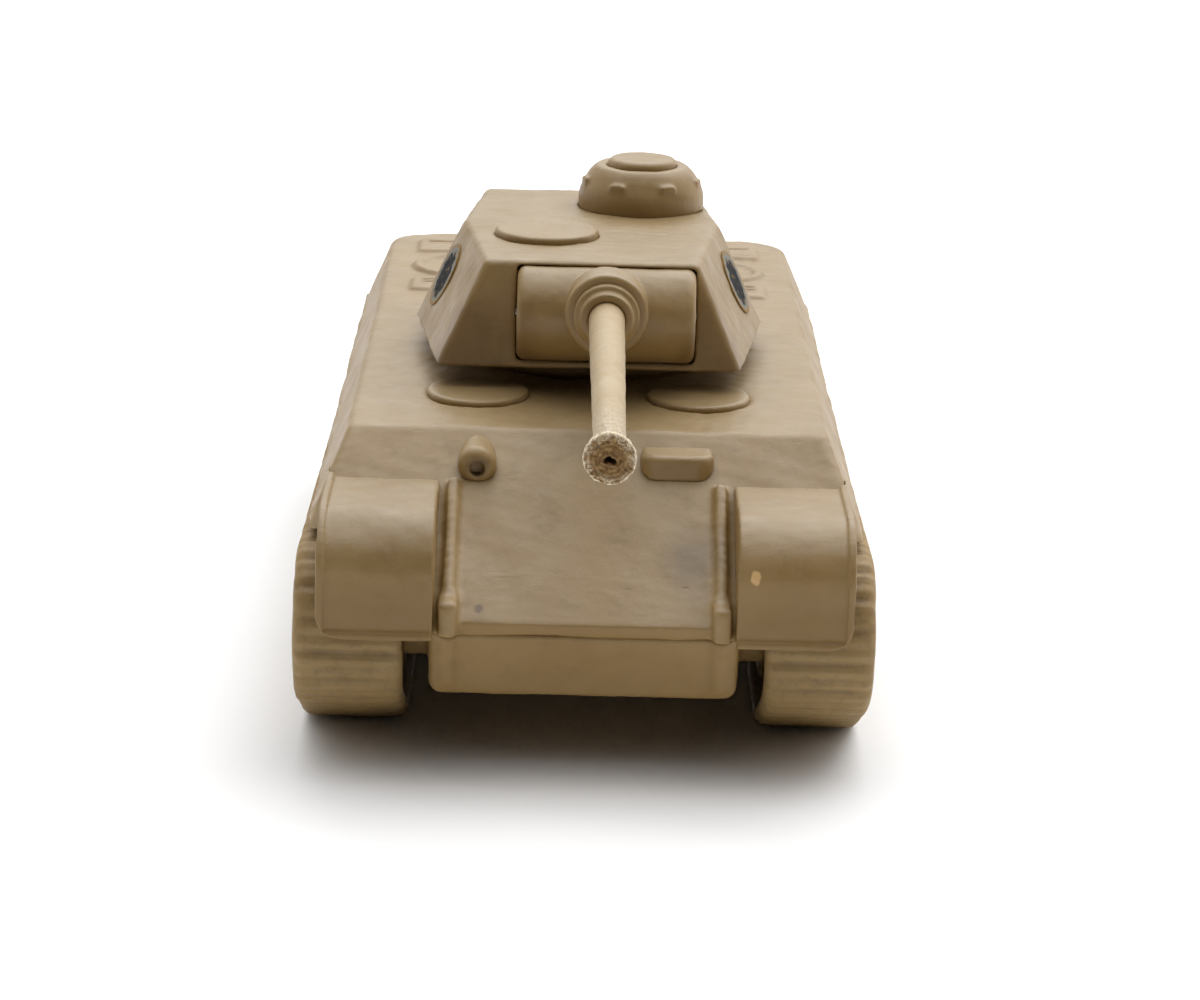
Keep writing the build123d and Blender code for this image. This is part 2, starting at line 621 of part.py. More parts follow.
def motor_pinion():
    """Left motor pinion on its stub of motor shaft."""
    half_tooth = 180 / DRIVE_PINION_TEETH
    wheel = gear(DRIVE_MODULE, DRIVE_PINION_TEETH, DRIVE_GEAR_WIDTH, 180 + half_tooth)
    wheel = Pos(DRIVE_GEAR_X, y_at(motor_back()), motor_z()) * mesh_frame() * wheel
    return wheel + rod_x(MOTOR_SHAFT_R, MOTOR_FRONT_X - 1.3, DRIVE_GEAR_X + 0.1, motor_back(), motor_z())


def motor_bracket():
    """Cradle that both drive motors lie in."""
    front = motor_back() - MOTOR_R - 0.4
    cradle = block(-7.5, 7.5, front, motor_back() + MOTOR_R + 0.4, BELLY_Z + WALL, motor_z() - 0.3)
    return cradle - rod_x(MOTOR_R + RUNNING, -10, 10, motor_back(), motor_z())


def circuit_board():
    """Board with receiver, processor and motor driver chips."""
    board = block(-10.2, 10.2, 30.5, 55.5, 14.0, 14.8)
    chips = ((-6.5, -1.5, 34.0, 39.0, 1.0), (2.0, 7.5, 33.0, 36.5, 0.9), (-4.0, 3.0, 45.0, 51.0, 1.1),
             (5.5, 8.0, 41.0, 47.5, 1.5), (-8.5, -6.0, 43.0, 49.0, 0.8))
    for x0, x1, back0, back1, height in chips:
        board += block(x0, x1, back0, back1, 14.7, 14.8 + height)
    return board


def battery():
    """Flat lithium cell above the battery door."""
    cell = block(-7.2, 7.2, 33.0, 55.0, 7.6, 12.4)
    return fillet(cell.edges().filter_by(Axis.Y), 1.2)


def battery_door():
    """Belly door with a tongue at its front and a screw tab at its rear."""
    gap = 0.1
    half = DOOR_HALF - gap
    door = block(-half, half, DOOR_FRONT_BACK + gap, DOOR_REAR_BACK - gap, BELLY_Z, 7.3)
    door += block(-2.0, 2.0, DOOR_REAR_BACK - 0.5, 60.2, BELLY_Z, 7.3)
    door += block(-3.0, 3.0, DOOR_FRONT_BACK + gap, DOOR_FRONT_BACK + 1.2, 7.2, 8.2)
    door += block(-3.0, 3.0, DOOR_FRONT_BACK - 1.0, DOOR_FRONT_BACK + 0.5, 7.5, 8.2)
    door -= rod_z(0.6, 5, 8, 0, 58.7)
    return door - rod_z(1.05, 5, BELLY_Z + 0.6, 0, 58.7)


def screw(x, back, head_r, head_height, length):
    """Cross-head screw driven upwards into the belly."""
    head = rod_z(head_r, BELLY_Z + 0.02, BELLY_Z + 0.02 + head_height, x, back)
    shank = rod_z(0.5, BELLY_Z + head_height, BELLY_Z + length, x, back)
    cross = block(x - 0.6, x + 0.6, back - 0.12, back + 0.12, BELLY_Z - 1, BELLY_Z + 0.35)
    cross += block(x - 0.12, x + 0.12, back - 0.6, back + 0.6, BELLY_Z - 1, BELLY_Z + 0.35)
    return head + shank - cross


def switch_housing():
    """Slide-switch body on the tub floor, with a slot for the knob's stem."""
    housing = block(-2.6, 2.6, SWITCH_BACK - 3.4, SWITCH_BACK + 3.6, BELLY_Z + WALL, 10.5)
    return housing - block(-0.9, 0.9, SWITCH_BACK - 2.0, SWITCH_BACK + 2.5, BELLY_Z, 9.4)


def power_switch():
    """Sliding knob under the belly; off at rest, on at the end of its travel to the rear."""
    stem = block(-0.6, 0.6, SWITCH_BACK - 1.6, SWITCH_BACK, 5.8, 9.1)
    knob = block(-1.5, 1.5, SWITCH_BACK - 1.9, SWITCH_BACK + 0.3, 5.5, 6.0)
    for index in range(3):
        groove_back = SWITCH_BACK - 1.4 + index * 0.6
        knob -= block(-2, 2, groove_back - 0.12, groove_back + 0.12, 5, 5.65)
    return knob + stem


def charge_socket():
    """Round charging socket in the rear plate."""
    body = block(-1.6, 1.6, 79.5, 83.5, SOCKET_Z - 1.6, SOCKET_Z + 1.6)
    barrel = cut_rear(rod_y(SOCKET_R, 83.4, 92, 0, SOCKET_Z), 0)
    hole = rod_y(0.55, 82.0, 92, 0, SOCKET_Z)
    return body + barrel - hole


# ------------------------------------------------------------------ turret

def turret_block(inset, low_z, front_inset):
    """Six-sided turret body with leaning walls, every face moved in by inset."""
    solid = block(-30, 30, 10, 80, low_z, TURRET_TOP_Z - inset)
    low = TURRET_LOW_Z
    lean = radians(TURRET_FRONT_LEAN)
    front = (0, y_at(TURRET_FRONT_BACK), low)
    solid = keep_behind(solid, front, (0, -cos(lean), sin(lean)), front_inset)
    lean = radians(TURRET_REAR_LEAN)
    solid = keep_behind(solid, (0, y_at(TURRET_REAR_BACK), low), (0, cos(lean), sin(lean)), inset)
    for side in (-1, 1):
        for normal in (front_side_normal(side), rear_side_normal(side)):
            corner = (side * TURRET_WIDE_HALF, y_at(TURRET_WIDE_BACK), low)
            solid = keep_behind(solid, corner, normal, inset)
    return solid


def side_normal(side, run, widen):
    """Outward normal of a leaning side wall whose foot runs back by run and out by widen."""
    length = sqrt(run ** 2 + widen ** 2)
    lean = radians(TURRET_SIDE_LEAN)
    return (side * run / length * cos(lean), -widen / length * cos(lean), sin(lean))


def front_side_normal(side):
    return side_normal(side, TURRET_WIDE_BACK - TURRET_FRONT_BACK, TURRET_WIDE_HALF - TURRET_FRONT_HALF)


def rear_side_normal(side):
    return side_normal(side, TURRET_REAR_BACK - TURRET_WIDE_BACK, TURRET_REAR_HALF - TURRET_WIDE_HALF)


def turret_shell(fittings):
    """Turret casting with the mantlet's pocket and the trunnion holes."""
    shell = turret_block(0, TURRET_LOW_Z, 0)
    shell = fillet(shell.edges().filter_by(lambda e: e.center().Z > TURRET_LOW_Z + 0.1), 0.7)
    shell -= turret_block(WALL, TURRET_LOW_Z - 1, 2.0)
    half = MANTLET_HALF + MANTLET_GAP
    shell -= rod_x(MANTLET_R + 0.13, GUN_X - half, GUN_X + half, TRUNNION_BACK, TRUNNION_Z)
    pin_half = MANTLET_HALF + 1.3
    shell -= rod_x(TRUNNION_R + RUNNING, GUN_X - pin_half, GUN_X + pin_half, TRUNNION_BACK, TRUNNION_Z)
    for fitting in fittings:
        shell -= fitting
    return shell


def turret_ring():
    """Floor plate, collar and neck that carry the turret on the hull roof."""
    plate = turret_block(WALL, TURRET_LOW_Z, 2.0) - block(-30, 30, 10, 80, TURRET_LOW_Z + 1, 40)
    ring = plate - rod_x(MANTLET_R + 0.4, -15, 15, TRUNNION_BACK, TRUNNION_Z)
    ring += rod_z(COLLAR_R, ROOF_Z + 0.2, TURRET_LOW_Z, 0, TURRET_BACK)
    ring += rod_z(NECK_R, TRAVERSE_GEAR_Z + TRAVERSE_GEAR_WIDTH, ROOF_Z + 0.3, 0, TURRET_BACK)
    return ring - rod_z(9.0, 20, 30, 0, TURRET_BACK)


def traverse_distance():
    """Distance between the traverse axis and the turret motor's axis."""
    return TRAVERSE_MODULE * (TRAVERSE_GEAR_TEETH + TRAVERSE_PINION_TEETH) / 2


def traverse_gear():
    """Toothed ring under the hull roof that holds the turret down and turns it."""
    ring = gear(TRAVERSE_MODULE, TRAVERSE_GEAR_TEETH, TRAVERSE_GEAR_WIDTH, 90)
    ring -= Cylinder(9.0, 10)
    return Pos(0, y_at(TURRET_BACK), TRAVERSE_GEAR_Z) * ring


def turret_pinion():
    """Pinion on the turret motor's upright shaft."""
    back = TURRET_BACK + traverse_distance()
    half_tooth = 180 / TRAVERSE_PINION_TEETH
    wheel = gear(TRAVERSE_MODULE, TRAVERSE_PINION_TEETH, TRAVERSE_GEAR_WIDTH, 270 + half_tooth)
    shaft = rod_z(MOTOR_SHAFT_R, 19.4, TRAVERSE_GEAR_Z + 0.1, 0, back)
    return Pos(0, y_at(back), TRAVERSE_GEAR_Z) * wheel + shaft


def turret_motor():
    """Upright motor that turns the turret."""
    back = TURRET_BACK + traverse_distance()
    can = rod_z(MOTOR_R, 10.9, 20.0, 0, back)
    can = fillet(can.edges().filter_by(GeomType.CIRCLE), 0.3)
    nose = rod_z(1.0, 19.9, 20.6, 0, back)
    return can + nose - rod_z(MOTOR_SHAFT_R + RUNNING, 19.2, 21.0, 0, back)


def loader_hatch():
    """Round hatch lid let into the turret roof."""
    lid = rod_z(LOADER_R, TURRET_TOP_Z - 0.4, TURRET_TOP_Z + 0.6, LOADER_X, LOADER_BACK)
    return fillet(lid.edges().filter_by(GeomType.CIRCLE).sort_by(Axis.Z)[-1:], 0.35)


def cupola():
    """Cast commander's cupola with a ring of periscope hoods."""
    with BuildPart() as part:
        with BuildSketch(Plane.XZ):
            with BuildLine():
                Polyline((0, 0), (CUPOLA_R, 0), (CUPOLA_R, 1.0))
                rise = ((CUPOLA_R, 1.0), (CUPOLA_R - 0.5, 2.6), (CUPOLA_TOP_R, CUPOLA_HEIGHT))
                Spline(*rise, tangents=((0, 1), (-1, 0.6)))
                Polyline((CUPOLA_TOP_R, CUPOLA_HEIGHT), (0, CUPOLA_HEIGHT), (0, 0))
            make_face()
        revolve(axis=Axis.Z)
    body = part.part
    for index in range(PERISCOPES):
        hood = Pos(CUPOLA_R - 0.75, 0, 2.5) * Box(0.9, 1.5, 1.0)
        hood = fillet(hood.edges().filter_by(Axis.X), 0.3)
        body += Rot(0, 0, 360 * (index + 0.5) / PERISCOPES - 90) * hood
    body = Pos(CUPOLA_X, y_at(CUPOLA_BACK), TURRET_TOP_Z - 0.3) * body
    return body - cupola_hatch()


def cupola_hatch():
    """Domed hatch let into the top of the cupola."""
    base_z = TURRET_TOP_Z + 3.2
    lid = rod_z(3.1, base_z, base_z + 1.1, CUPOLA_X, CUPOLA_BACK)
    return fillet(lid.edges().filter_by(GeomType.CIRCLE).sort_by(Axis.Z)[-1:], 0.6)


def emblem(side):
    """Thin round marking plate on one turret side wall."""
    normal = Vector(*front_side_normal(side))
    foot = Vector(side * TURRET_WIDE_HALF, y_at(TURRET_WIDE_BACK), TURRET_LOW_Z)
    target = Vector(side * TURRET_FRONT_HALF, y_at(EMBLEM_BACK), EMBLEM_Z)
    centre = target - normal * (target - foot).dot(normal)
    disc = Cylinder(EMBLEM_R, EMBLEM_THICKNESS, align=(MID, MID, LOW))
    return Plane(origin=centre, z_dir=normal) * disc


# ------------------------------------------------------------------ gun

def mantlet():
    """Round gun mantlet on the trunnion axis, with a swelling round the gun."""
    drum = rod_x(MANTLET_R, GUN_X - MANTLET_HALF, GUN_X + MANTLET_HALF, TRUNNION_BACK, TRUNNION_Z)
    drum = fillet(drum.edges().filter_by(GeomType.CIRCLE), 0.6)
    drum += rod_y(BOSS_R, BOSS_FRONT_BACK, BOSS_REAR_BACK, GUN_X, GUN_Z)
    drum -= rod_y(BARREL_ROOT_R, 20, 27.3, GUN_X, GUN_Z)
    return drum - rod_x(TRUNNION_R, -20, 20, TRUNNION_BACK, TRUNNION_Z)


def gun_collar():
    """Stepped sleeve round the barrel's root, against the mantlet's face."""
    sleeve = rod_y(2.75, 22.7, BOSS_FRONT_BACK, GUN_X, GUN_Z)
    sleeve += rod_y(2.25, COLLAR_FRONT_BACK, 23.0, GUN_X, GUN_Z)
    sleeve = fillet(sleeve.edges().filter_by(GeomType.CIRCLE).sort_by(Axis.Y)[:1], 0.3)
    return sleeve - rod_y(BARREL_ROOT_R, 20, 27.3, GUN_X, GUN_Z)


def gun_barrel():
    """Tapered barrel with a plain tenon in the mantlet."""
    front = MUZZLE_BACK + 1.0
    taper = Cone(BARREL_ROOT_R, BARREL_TIP_R, COLLAR_FRONT_BACK - front, align=(MID, MID, LOW))
    taper = Pos(GUN_X, y_at(COLLAR_FRONT_BACK), GUN_Z) * Rot(90, 0, 0) * taper
    tenon = rod_y(BARREL_ROOT_R, COLLAR_FRONT_BACK, 27.3, GUN_X, GUN_Z)
    return taper + tenon - rod_y(BORE_R, front - 1, front + 3, GUN_X, GUN_Z)


def muzzle_ring():
    """Flared ring over the barrel's front end."""
    flare = Cone(BARREL_TIP_R + 0.05, MUZZLE_R, 2.0, align=(MID, MID, LOW))
    ring = Pos(GUN_X, y_at(MUZZLE_BACK + 2.6), GUN_Z) * Rot(90, 0, 0) * flare
    ring += rod_y(MUZZLE_R, MUZZLE_BACK, MUZZLE_BACK + 0.65, GUN_X, GUN_Z)
    ring -= rod_y(BORE_R, MUZZLE_BACK - 1, MUZZLE_BACK + 3, GUN_X, GUN_Z)
    return ring


def trunnion_pin():
    """Pin through the mantlet that turns in the turret's front wall."""
    reach = MANTLET_HALF + 1.1
    return rod_x(TRUNNION_R, GUN_X - reach, GUN_X + reach, TRUNNION_BACK, TRUNNION_Z)


# ------------------------------------------------------------------ assembly

def build():
    """Every sub-part by node name."""
    parts = {}
    exhausts = [exhaust_pipe(-4.5), exhaust_pipe(4.5)]
    hatches = [hull_hatch(-HULL_HATCH_X), hull_hatch(HULL_HATCH_X)]
    parts["exhaust_pipes"] = Compound(children=exhausts)
    parts["hull_hatches"] = Compound(children=hatches)
    parts["driver_visor"] = driver_visor()
    parts["machine_gun_mount"] = machine_gun_mount()
    parts["wheel_axles"] = Compound(children=left_axles() + [mirrored(pin) for pin in left_axles()])
    parts["upper_hull"] = upper_hull(hatches)
    tub = lower_hull(exhausts)
    for pin in parts["wheel_axles"].solids():
        tub -= pin
    parts["lower_hull"] = tub
    parts["battery_door"] = battery_door()
    parts["battery_door_screw"] = screw(0, 58.7, 1.0, 0.55, 3.6)
    chassis = [screw(x, back, 1.1, 0.7, 7.5) for x in (-SCREW_X, SCREW_X) for back in SCREW_BACKS]
    parts["chassis_screws"] = Compound(children=chassis)
    parts["motor_bracket"] = motor_bracket()
    parts["circuit_board"] = circuit_board()
    parts["battery"] = battery()
    parts["switch_housing"] = switch_housing()
    parts["power_switch"] = power_switch()
    parts["charge_socket"] = charge_socket()
    parts["turret_motor"] = turret_motor()
    parts["turret_pinion"] = turret_pinion()

    left_pieces = {
        "mudguard": mudguard(),
        "track": track(),
        "sprocket": sprocket(),
        "drive_shaft": drive_shaft(),
        "idler": idler(),
        "drive_motor": drive_motor(),
        "motor_pinion": motor_pinion(),
    }
    for index in range(WHEELS):
        wheel = wheel_blank(wheel_offset(index), wheel_back(index), WHEEL_Z)
        left_pieces[f"road_wheel_{index + 1}"] = wheel
    for name, piece in left_pieces.items():
        parts["left_" + name] = piece
        parts["right_" + name] = mirrored(piece)

    lids = [loader_hatch(), cupola()]
    parts["turret_shell"] = turret_shell(lids)
    parts["turret_ring"] = turret_ring()
    parts["traverse_gear"] = traverse_gear()
    parts["loader_hatch"] = loader_hatch()
    parts["cupola"] = cupola()
    parts["cupola_hatch"] = cupola_hatch()
    parts["turret_emblems"] = Compound(children=[emblem(-1), emblem(1)])
    barrel = gun_barrel()
    parts["mantlet"] = mantlet()
    parts["gun_collar"] = gun_collar()
    parts["gun_barrel"] = barrel
    parts["muzzle_ring"] = muzzle_ring() - barrel
    parts["trunnion_pin"] = trunnion_pin()
    return parts


os.makedirs("parts", exist_ok=True)
for node, shape in build().items():
    export_step(shape, f"parts/{node}.step")
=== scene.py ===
import json
import math
import bmesh
import bpy
import numpy as np
from mathutils import Matrix, Vector


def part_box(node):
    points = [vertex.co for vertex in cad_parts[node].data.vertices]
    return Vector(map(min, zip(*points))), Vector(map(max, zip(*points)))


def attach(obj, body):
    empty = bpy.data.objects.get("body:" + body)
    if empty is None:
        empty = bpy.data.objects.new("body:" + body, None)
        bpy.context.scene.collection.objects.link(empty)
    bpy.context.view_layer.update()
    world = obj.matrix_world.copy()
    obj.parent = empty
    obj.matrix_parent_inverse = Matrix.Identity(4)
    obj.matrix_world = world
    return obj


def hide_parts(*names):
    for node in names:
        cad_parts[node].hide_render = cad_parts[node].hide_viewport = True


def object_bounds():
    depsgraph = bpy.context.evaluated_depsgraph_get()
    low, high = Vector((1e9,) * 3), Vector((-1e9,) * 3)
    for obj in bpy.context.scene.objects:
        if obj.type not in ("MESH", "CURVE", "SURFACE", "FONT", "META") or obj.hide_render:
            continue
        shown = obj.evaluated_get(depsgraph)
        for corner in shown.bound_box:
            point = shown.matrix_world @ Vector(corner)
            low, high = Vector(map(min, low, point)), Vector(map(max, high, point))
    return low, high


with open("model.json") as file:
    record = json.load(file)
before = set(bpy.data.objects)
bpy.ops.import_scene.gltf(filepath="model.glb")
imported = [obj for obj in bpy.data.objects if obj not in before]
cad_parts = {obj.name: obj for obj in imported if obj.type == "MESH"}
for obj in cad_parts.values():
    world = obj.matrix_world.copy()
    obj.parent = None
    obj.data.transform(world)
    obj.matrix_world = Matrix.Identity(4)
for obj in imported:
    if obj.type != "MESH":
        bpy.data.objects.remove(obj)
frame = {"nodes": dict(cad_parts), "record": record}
CAD_LOW, CAD_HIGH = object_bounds()

MM = 0.001
TURN = 2 * math.pi
SIDES = (("left", 1), ("right", -1))
NODES = frame["nodes"]
JOINTS = {joint["name"]: joint for joint in frame["record"]["behaviour"]["joints"]}
NODE_SLOT = {part["node"]: part["material_slot"] for part in frame["record"]["subparts"]}
NODE_BODY = {node: body for body, nodes in frame["record"]["behaviour"]["bodies"].items() for node in nodes}


# ------------------------------------------------------------------ places from the frame, in millimetres

def joint_at(name):
    """A joint's axis point."""
    return Vector(JOINTS[name]["pos_m"]) / MM


def box_mm(node):
    """Lowest and highest corner of a CAD node."""
    low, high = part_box(node)
    return low / MM, high / MM


def middle(node):
    """Middle of a CAD node's box."""
    low, high = box_mm(node)
    return (low + high) / 2


def half_size(node, axis):
    """Half of a CAD node's length along one axis."""
    low, high = box_mm(node)
    return (high[axis] - low[axis]) / 2


# ------------------------------------------------------------------ materials

class Graph:
    """A material's node tree, built a call at a time."""

    def __init__(self, name):
        self.material = bpy.data.materials.new(name)
        self.material.use_nodes = True
        self.tree = self.material.node_tree
        self.tree.nodes.clear()
        self.shader = self.tree.nodes.new("ShaderNodeBsdfPrincipled")
        output = self.tree.nodes.new("ShaderNodeOutputMaterial")
        self.tree.links.new(self.shader.outputs["BSDF"], output.inputs["Surface"])
        place = self.tree.nodes.new("ShaderNodeTexCoord")
        scale = self.tree.nodes.new("ShaderNodeMapping")
        scale.inputs["Scale"].default_value = (1 / MM, 1 / MM, 1 / MM)
        self.tree.links.new(place.outputs["Object"], scale.inputs["Vector"])
        self.millimetres = scale.outputs["Vector"]

    def link(self, source, target):
        self.tree.links.new(source, target)

    def noise(self, size, detail=3.0, roughness=0.55, stretch=None):
        """Noise whose features are about this many millimetres across."""
        node = self.tree.nodes.new("ShaderNodeTexNoise")
        node.inputs["Scale"].default_value = 1 / size
        node.inputs["Detail"].default_value = detail
        node.inputs["Roughness"].default_value = roughness
        vector = self.millimetres
        if stretch:
            mapping = self.tree.nodes.new("ShaderNodeMapping")
            mapping.inputs["Scale"].default_value = stretch
            self.link(vector, mapping.inputs["Vector"])
            vector = mapping.outputs["Vector"]
        self.link(vector, node.inputs["Vector"])
        return node.outputs["Fac"]

    def ramp(self, value, low, high, start=0.0, end=1.0):
        """Value stretched from low..high to start..end."""
        node = self.tree.nodes.new("ShaderNodeMapRange")
        node.inputs["From Min"].default_value = low
        node.inputs["From Max"].default_value = high
        node.inputs["To Min"].default_value = start
        node.inputs["To Max"].default_value = end
        self.link(value, node.inputs["Value"])
        return node.outputs["Result"]

    def math(self, kind, first, second):
        """One sum of two sockets."""
        node = self.tree.nodes.new("ShaderNodeMath")
        node.operation = kind
        self.link(first, node.inputs[0])
        self.link(second, node.inputs[1])
        return node.outputs["Value"]

    def mix(self, factor, first, second):
        """Two colours, or a colour and a socket, mixed by a factor socket."""
        node = self.tree.nodes.new("ShaderNodeMix")
        node.data_type = "RGBA"
        self.link(factor, node.inputs["Factor"])
        for socket, value in zip((node.inputs[6], node.inputs[7]), (first, second)):
            if isinstance(value, tuple):
                socket.default_value = (*value, 1.0)
            else:
                self.link(value, socket)
        return node.outputs[2]

    def pointiness(self):
        """Above a half on outer edges, below it in hollows."""
        return self.tree.nodes.new("ShaderNodeNewGeometry").outputs["Pointiness"]

    def upward(self):
        """The upright part of the piece's own surface direction."""
        split = self.tree.nodes.new("ShaderNodeSeparateXYZ")
        self.link(self.tree.nodes.new("ShaderNodeTexCoord").outputs["Normal"], split.inputs[0])
        return split.outputs["Z"]

    def spot(self, centre, radii, ragged=0.0, size=0.5):
        """Distance from a point as a share of three radii: nought at the point, one on a ragged outline."""
        mapping = self.tree.nodes.new("ShaderNodeMapping")
        mapping.vector_type = "TEXTURE"
        mapping.inputs["Location"].default_value = centre
        mapping.inputs["Scale"].default_value = radii
        self.link(self.millimetres, mapping.inputs["Vector"])
        length = self.tree.nodes.new("ShaderNodeVectorMath")
        length.operation = "LENGTH"
        self.link(mapping.outputs["Vector"], length.inputs[0])
        value = length.outputs["Value"]
        if ragged:
            value = self.math("ADD", value, self.ramp(self.noise(size, 4.0), 0.3, 0.7, -ragged, ragged))
        return value

    def bump(self, height, millimetres, under=None):
        """Bump whose height of one is this many millimetres."""
        node = self.tree.nodes.new("ShaderNodeBump")
        node.inputs["Strength"].default_value = 1.0
        node.inputs["Distance"].default_value = millimetres * MM
        self.link(height, node.inputs["Height"])
        if under is not None:
            self.link(under, node.inputs["Normal"])
        return node.outputs["Normal"]

    def finish(self, colour, roughness, normal, metallic=0.0, specular=0.5):
        """Wires colour, roughness and normal to the shader."""
        self.link(colour, self.shader.inputs["Base Color"])
        if isinstance(roughness, (int, float)):
            self.shader.inputs["Roughness"].default_value = roughness
        else:
            self.link(roughness, self.shader.inputs["Roughness"])
        self.link(normal, self.shader.inputs["Normal"])
        self.shader.inputs["Metallic"].default_value = metallic
        self.shader.inputs["Specular IOR Level"].default_value = specular
        return self.material


SAND = (0.265, 0.166, 0.058)
SAND_LIGHT = (0.305, 0.198, 0.078)
SAND_BROWN = (0.14, 0.076, 0.021)    # painted shade in hollows, on the turret's cheeks, at the mantlet's ends and the barrel's root; also random mottling
SAND_EDGE = (0.39, 0.275, 0.135)     # on rubbed edges
SAND_TOP_SHEEN = (0.25, 0.19, 0.105)      # painted sheen on faces that look up
SAND_SIDE_SHADE = (0.30, 0.178, 0.05)      # painted shade on faces that look sideways or down
GREY_RUB = (0.165, 0.115, 0.06)
BARE_RESIN = (0.60, 0.38, 0.16)
# real pits, and painted shade under the bow gun port
PIT_AND_SHADE_BROWN = (0.075, 0.04, 0.012)
# darker brown low on the mudguards' fronts
GUARD_LOW_DARK = (0.22, 0.125, 0.033)
TRACK_SAND = (0.275, 0.175, 0.062)
TRACK_LIGHT = (0.32, 0.21, 0.08)
TRACK_WASH = (0.13, 0.085, 0.04)
# painted shade between the track's shoes
TRACK_GAP_SHADE = (0.085, 0.055, 0.028)
MUZZLE_BROWN = (0.19, 0.105, 0.036)
MUZZLE_TAN = (0.36, 0.225, 0.095)
MUZZLE_CORE = (0.11, 0.058, 0.02)
MUZZLE_FLAKE = (0.74, 0.63, 0.46)
MUZZLE_PIT = (0.06, 0.03, 0.012)
# painted sheen: the barrel's sand is paler and lighter than the hull's
BARREL_SHEEN_SAND = (0.37, 0.265, 0.135)
BARREL_SHEEN_LIGHT = (0.42, 0.32, 0.185)
BARREL_DUST = (0.50, 0.42, 0.30)
BARREL_PIT = (0.17, 0.10, 0.045)
MARKING_DARK = (0.010, 0.011, 0.013)
MARKING_PALE = (0.21, 0.205, 0.185)
MUZZLE_R = 1.83     # millimetres
EMBLEM_R = 2.9


def sand_paint(name, marks=(), tone=1.0):
    """Thick brushed sand paint: mottled, brown in the hollows as painted shade, rubbed light along the
    edges, with a painted sheen on faces that look up and painted shade on faces that look sideways or down.

    Each mark is a centre and three radii in millimetres, a colour, the share of the radii
    within which it is at full strength, and that strength.
    """
    g = Graph(name)
    shade = tuple(value * tone for value in SAND)
    light = tuple(value * tone for value in SAND_LIGHT)
    colour = g.mix(g.ramp(g.noise(7.0, 4.0), 0.38, 0.64), shade, light)
    colour = g.mix(g.ramp(g.noise(2.2, 5.0, 0.65), 0.52, 0.75, 0.0, 0.45), colour, SAND_BROWN)
    colour = g.mix(g.ramp(g.noise(0.35, 3.0, 0.7), 0.60, 0.80, 0.0, 0.35), colour, SAND_EDGE)
    point = g.pointiness()
    # painted shade: darker brown in the hollows
    colour = g.mix(g.ramp(point, 0.50, 0.44, 0.0, 0.35), colour, SAND_BROWN)
    worn = g.math("MULTIPLY", g.ramp(point, 0.52, 0.60, 0.0, 0.35), g.ramp(g.noise(1.1, 4.0), 0.35, 0.6))
    colour = g.mix(worn, colour, SAND_EDGE)
    up = g.upward()
    # painted sheen: faces that look up are tinted paler
    colour = g.mix(g.ramp(up, 0.55, 0.95, 0.0, 0.45), colour, SAND_TOP_SHEEN)
    # painted shade: faces that look sideways or down are tinted deeper
    colour = g.mix(g.ramp(up, 0.40, 0.0, 0.0, 0.45), colour, SAND_SIDE_SHADE)
    for centre, radii, tint, full, strength in marks:
        mask = g.ramp(g.spot(centre, radii, 0.2, min(radii)), 1.0, full, 0.0, strength)
        colour = g.mix(mask, colour, tint)
    peel = g.bump(g.noise(1.6, 3.0, 0.5), 0.06)
    grain = g.bump(g.noise(0.16, 2.0, 0.6), 0.014, peel)
    roughness = g.ramp(g.noise(3.0, 4.0), 0.3, 0.7, 0.38, 0.52)
    return g.finish(colour, roughness, grain)


def track_paint(name):
    """Sand paint over a dark belt: brown wash in patches, painted shade between the shoes, light wear on
    their faces.
    """
    g = Graph(name)
    colour = g.mix(g.ramp(g.noise(5.0, 4.0), 0.35, 0.65), TRACK_SAND, TRACK_LIGHT)
    colour = g.mix(g.ramp(g.noise(1.0, 5.0, 0.7), 0.5, 0.78, 0.0, 0.6), colour, TRACK_WASH)
    point = g.pointiness()
    # painted shade: darker in the hollows between the shoes
    colour = g.mix(g.ramp(point, 0.50, 0.42, 0.0, 0.7), colour, TRACK_GAP_SHADE)
    colour = g.mix(g.ramp(point, 0.53, 0.62, 0.0, 0.35), colour, SAND_EDGE)
    grain = g.bump(g.noise(0.25, 4.0, 0.7), 0.03, g.bump(g.noise(1.2, 3.0), 0.08))
    return g.finish(colour, g.ramp(g.noise(1.5, 4.0), 0.3, 0.7, 0.50, 0.68), grain)


def muzzle_paint(name, centre):
    """Raw, crusted end of the gun: brown core, pale flaked rim."""
    g = Graph(name)
    speck = g.noise(0.16, 5.0, 0.75)
    colour = g.mix(g.ramp(g.noise(0.5, 5.0, 0.7), 0.40, 0.60), MUZZLE_BROWN, MUZZLE_TAN)
    away = g.spot(centre, (MUZZLE_R, MUZZLE_R, MUZZLE_R), 0.10, 0.3)
    colour = g.mix(g.ramp(away, 0.50, 0.20, 0.0, 0.55), colour, MUZZLE_CORE)
    patches = g.ramp(g.noise(0.7, 4.0, 0.6), 0.42, 0.58, 0.12, 1.0)
    rim = g.math("MULTIPLY", g.ramp(away, 0.62, 0.90), patches)
    scattered = g.math("MULTIPLY", g.ramp(speck, 0.46, 0.54), rim)
    flakes = g.math("MAXIMUM", scattered, g.ramp(away, 0.95, 1.02))
    colour = g.mix(flakes, colour, MUZZLE_FLAKE)
    colour = g.mix(g.ramp(g.noise(0.13, 3.0, 0.6), 0.60, 0.66, 0.0, 0.8), colour, MUZZLE_PIT)
    crust = g.bump(g.noise(0.12, 5.0, 0.7), 0.05, g.bump(g.noise(0.45, 4.0), 0.06))
    return g.finish(colour, 0.8, crust, specular=0.25)


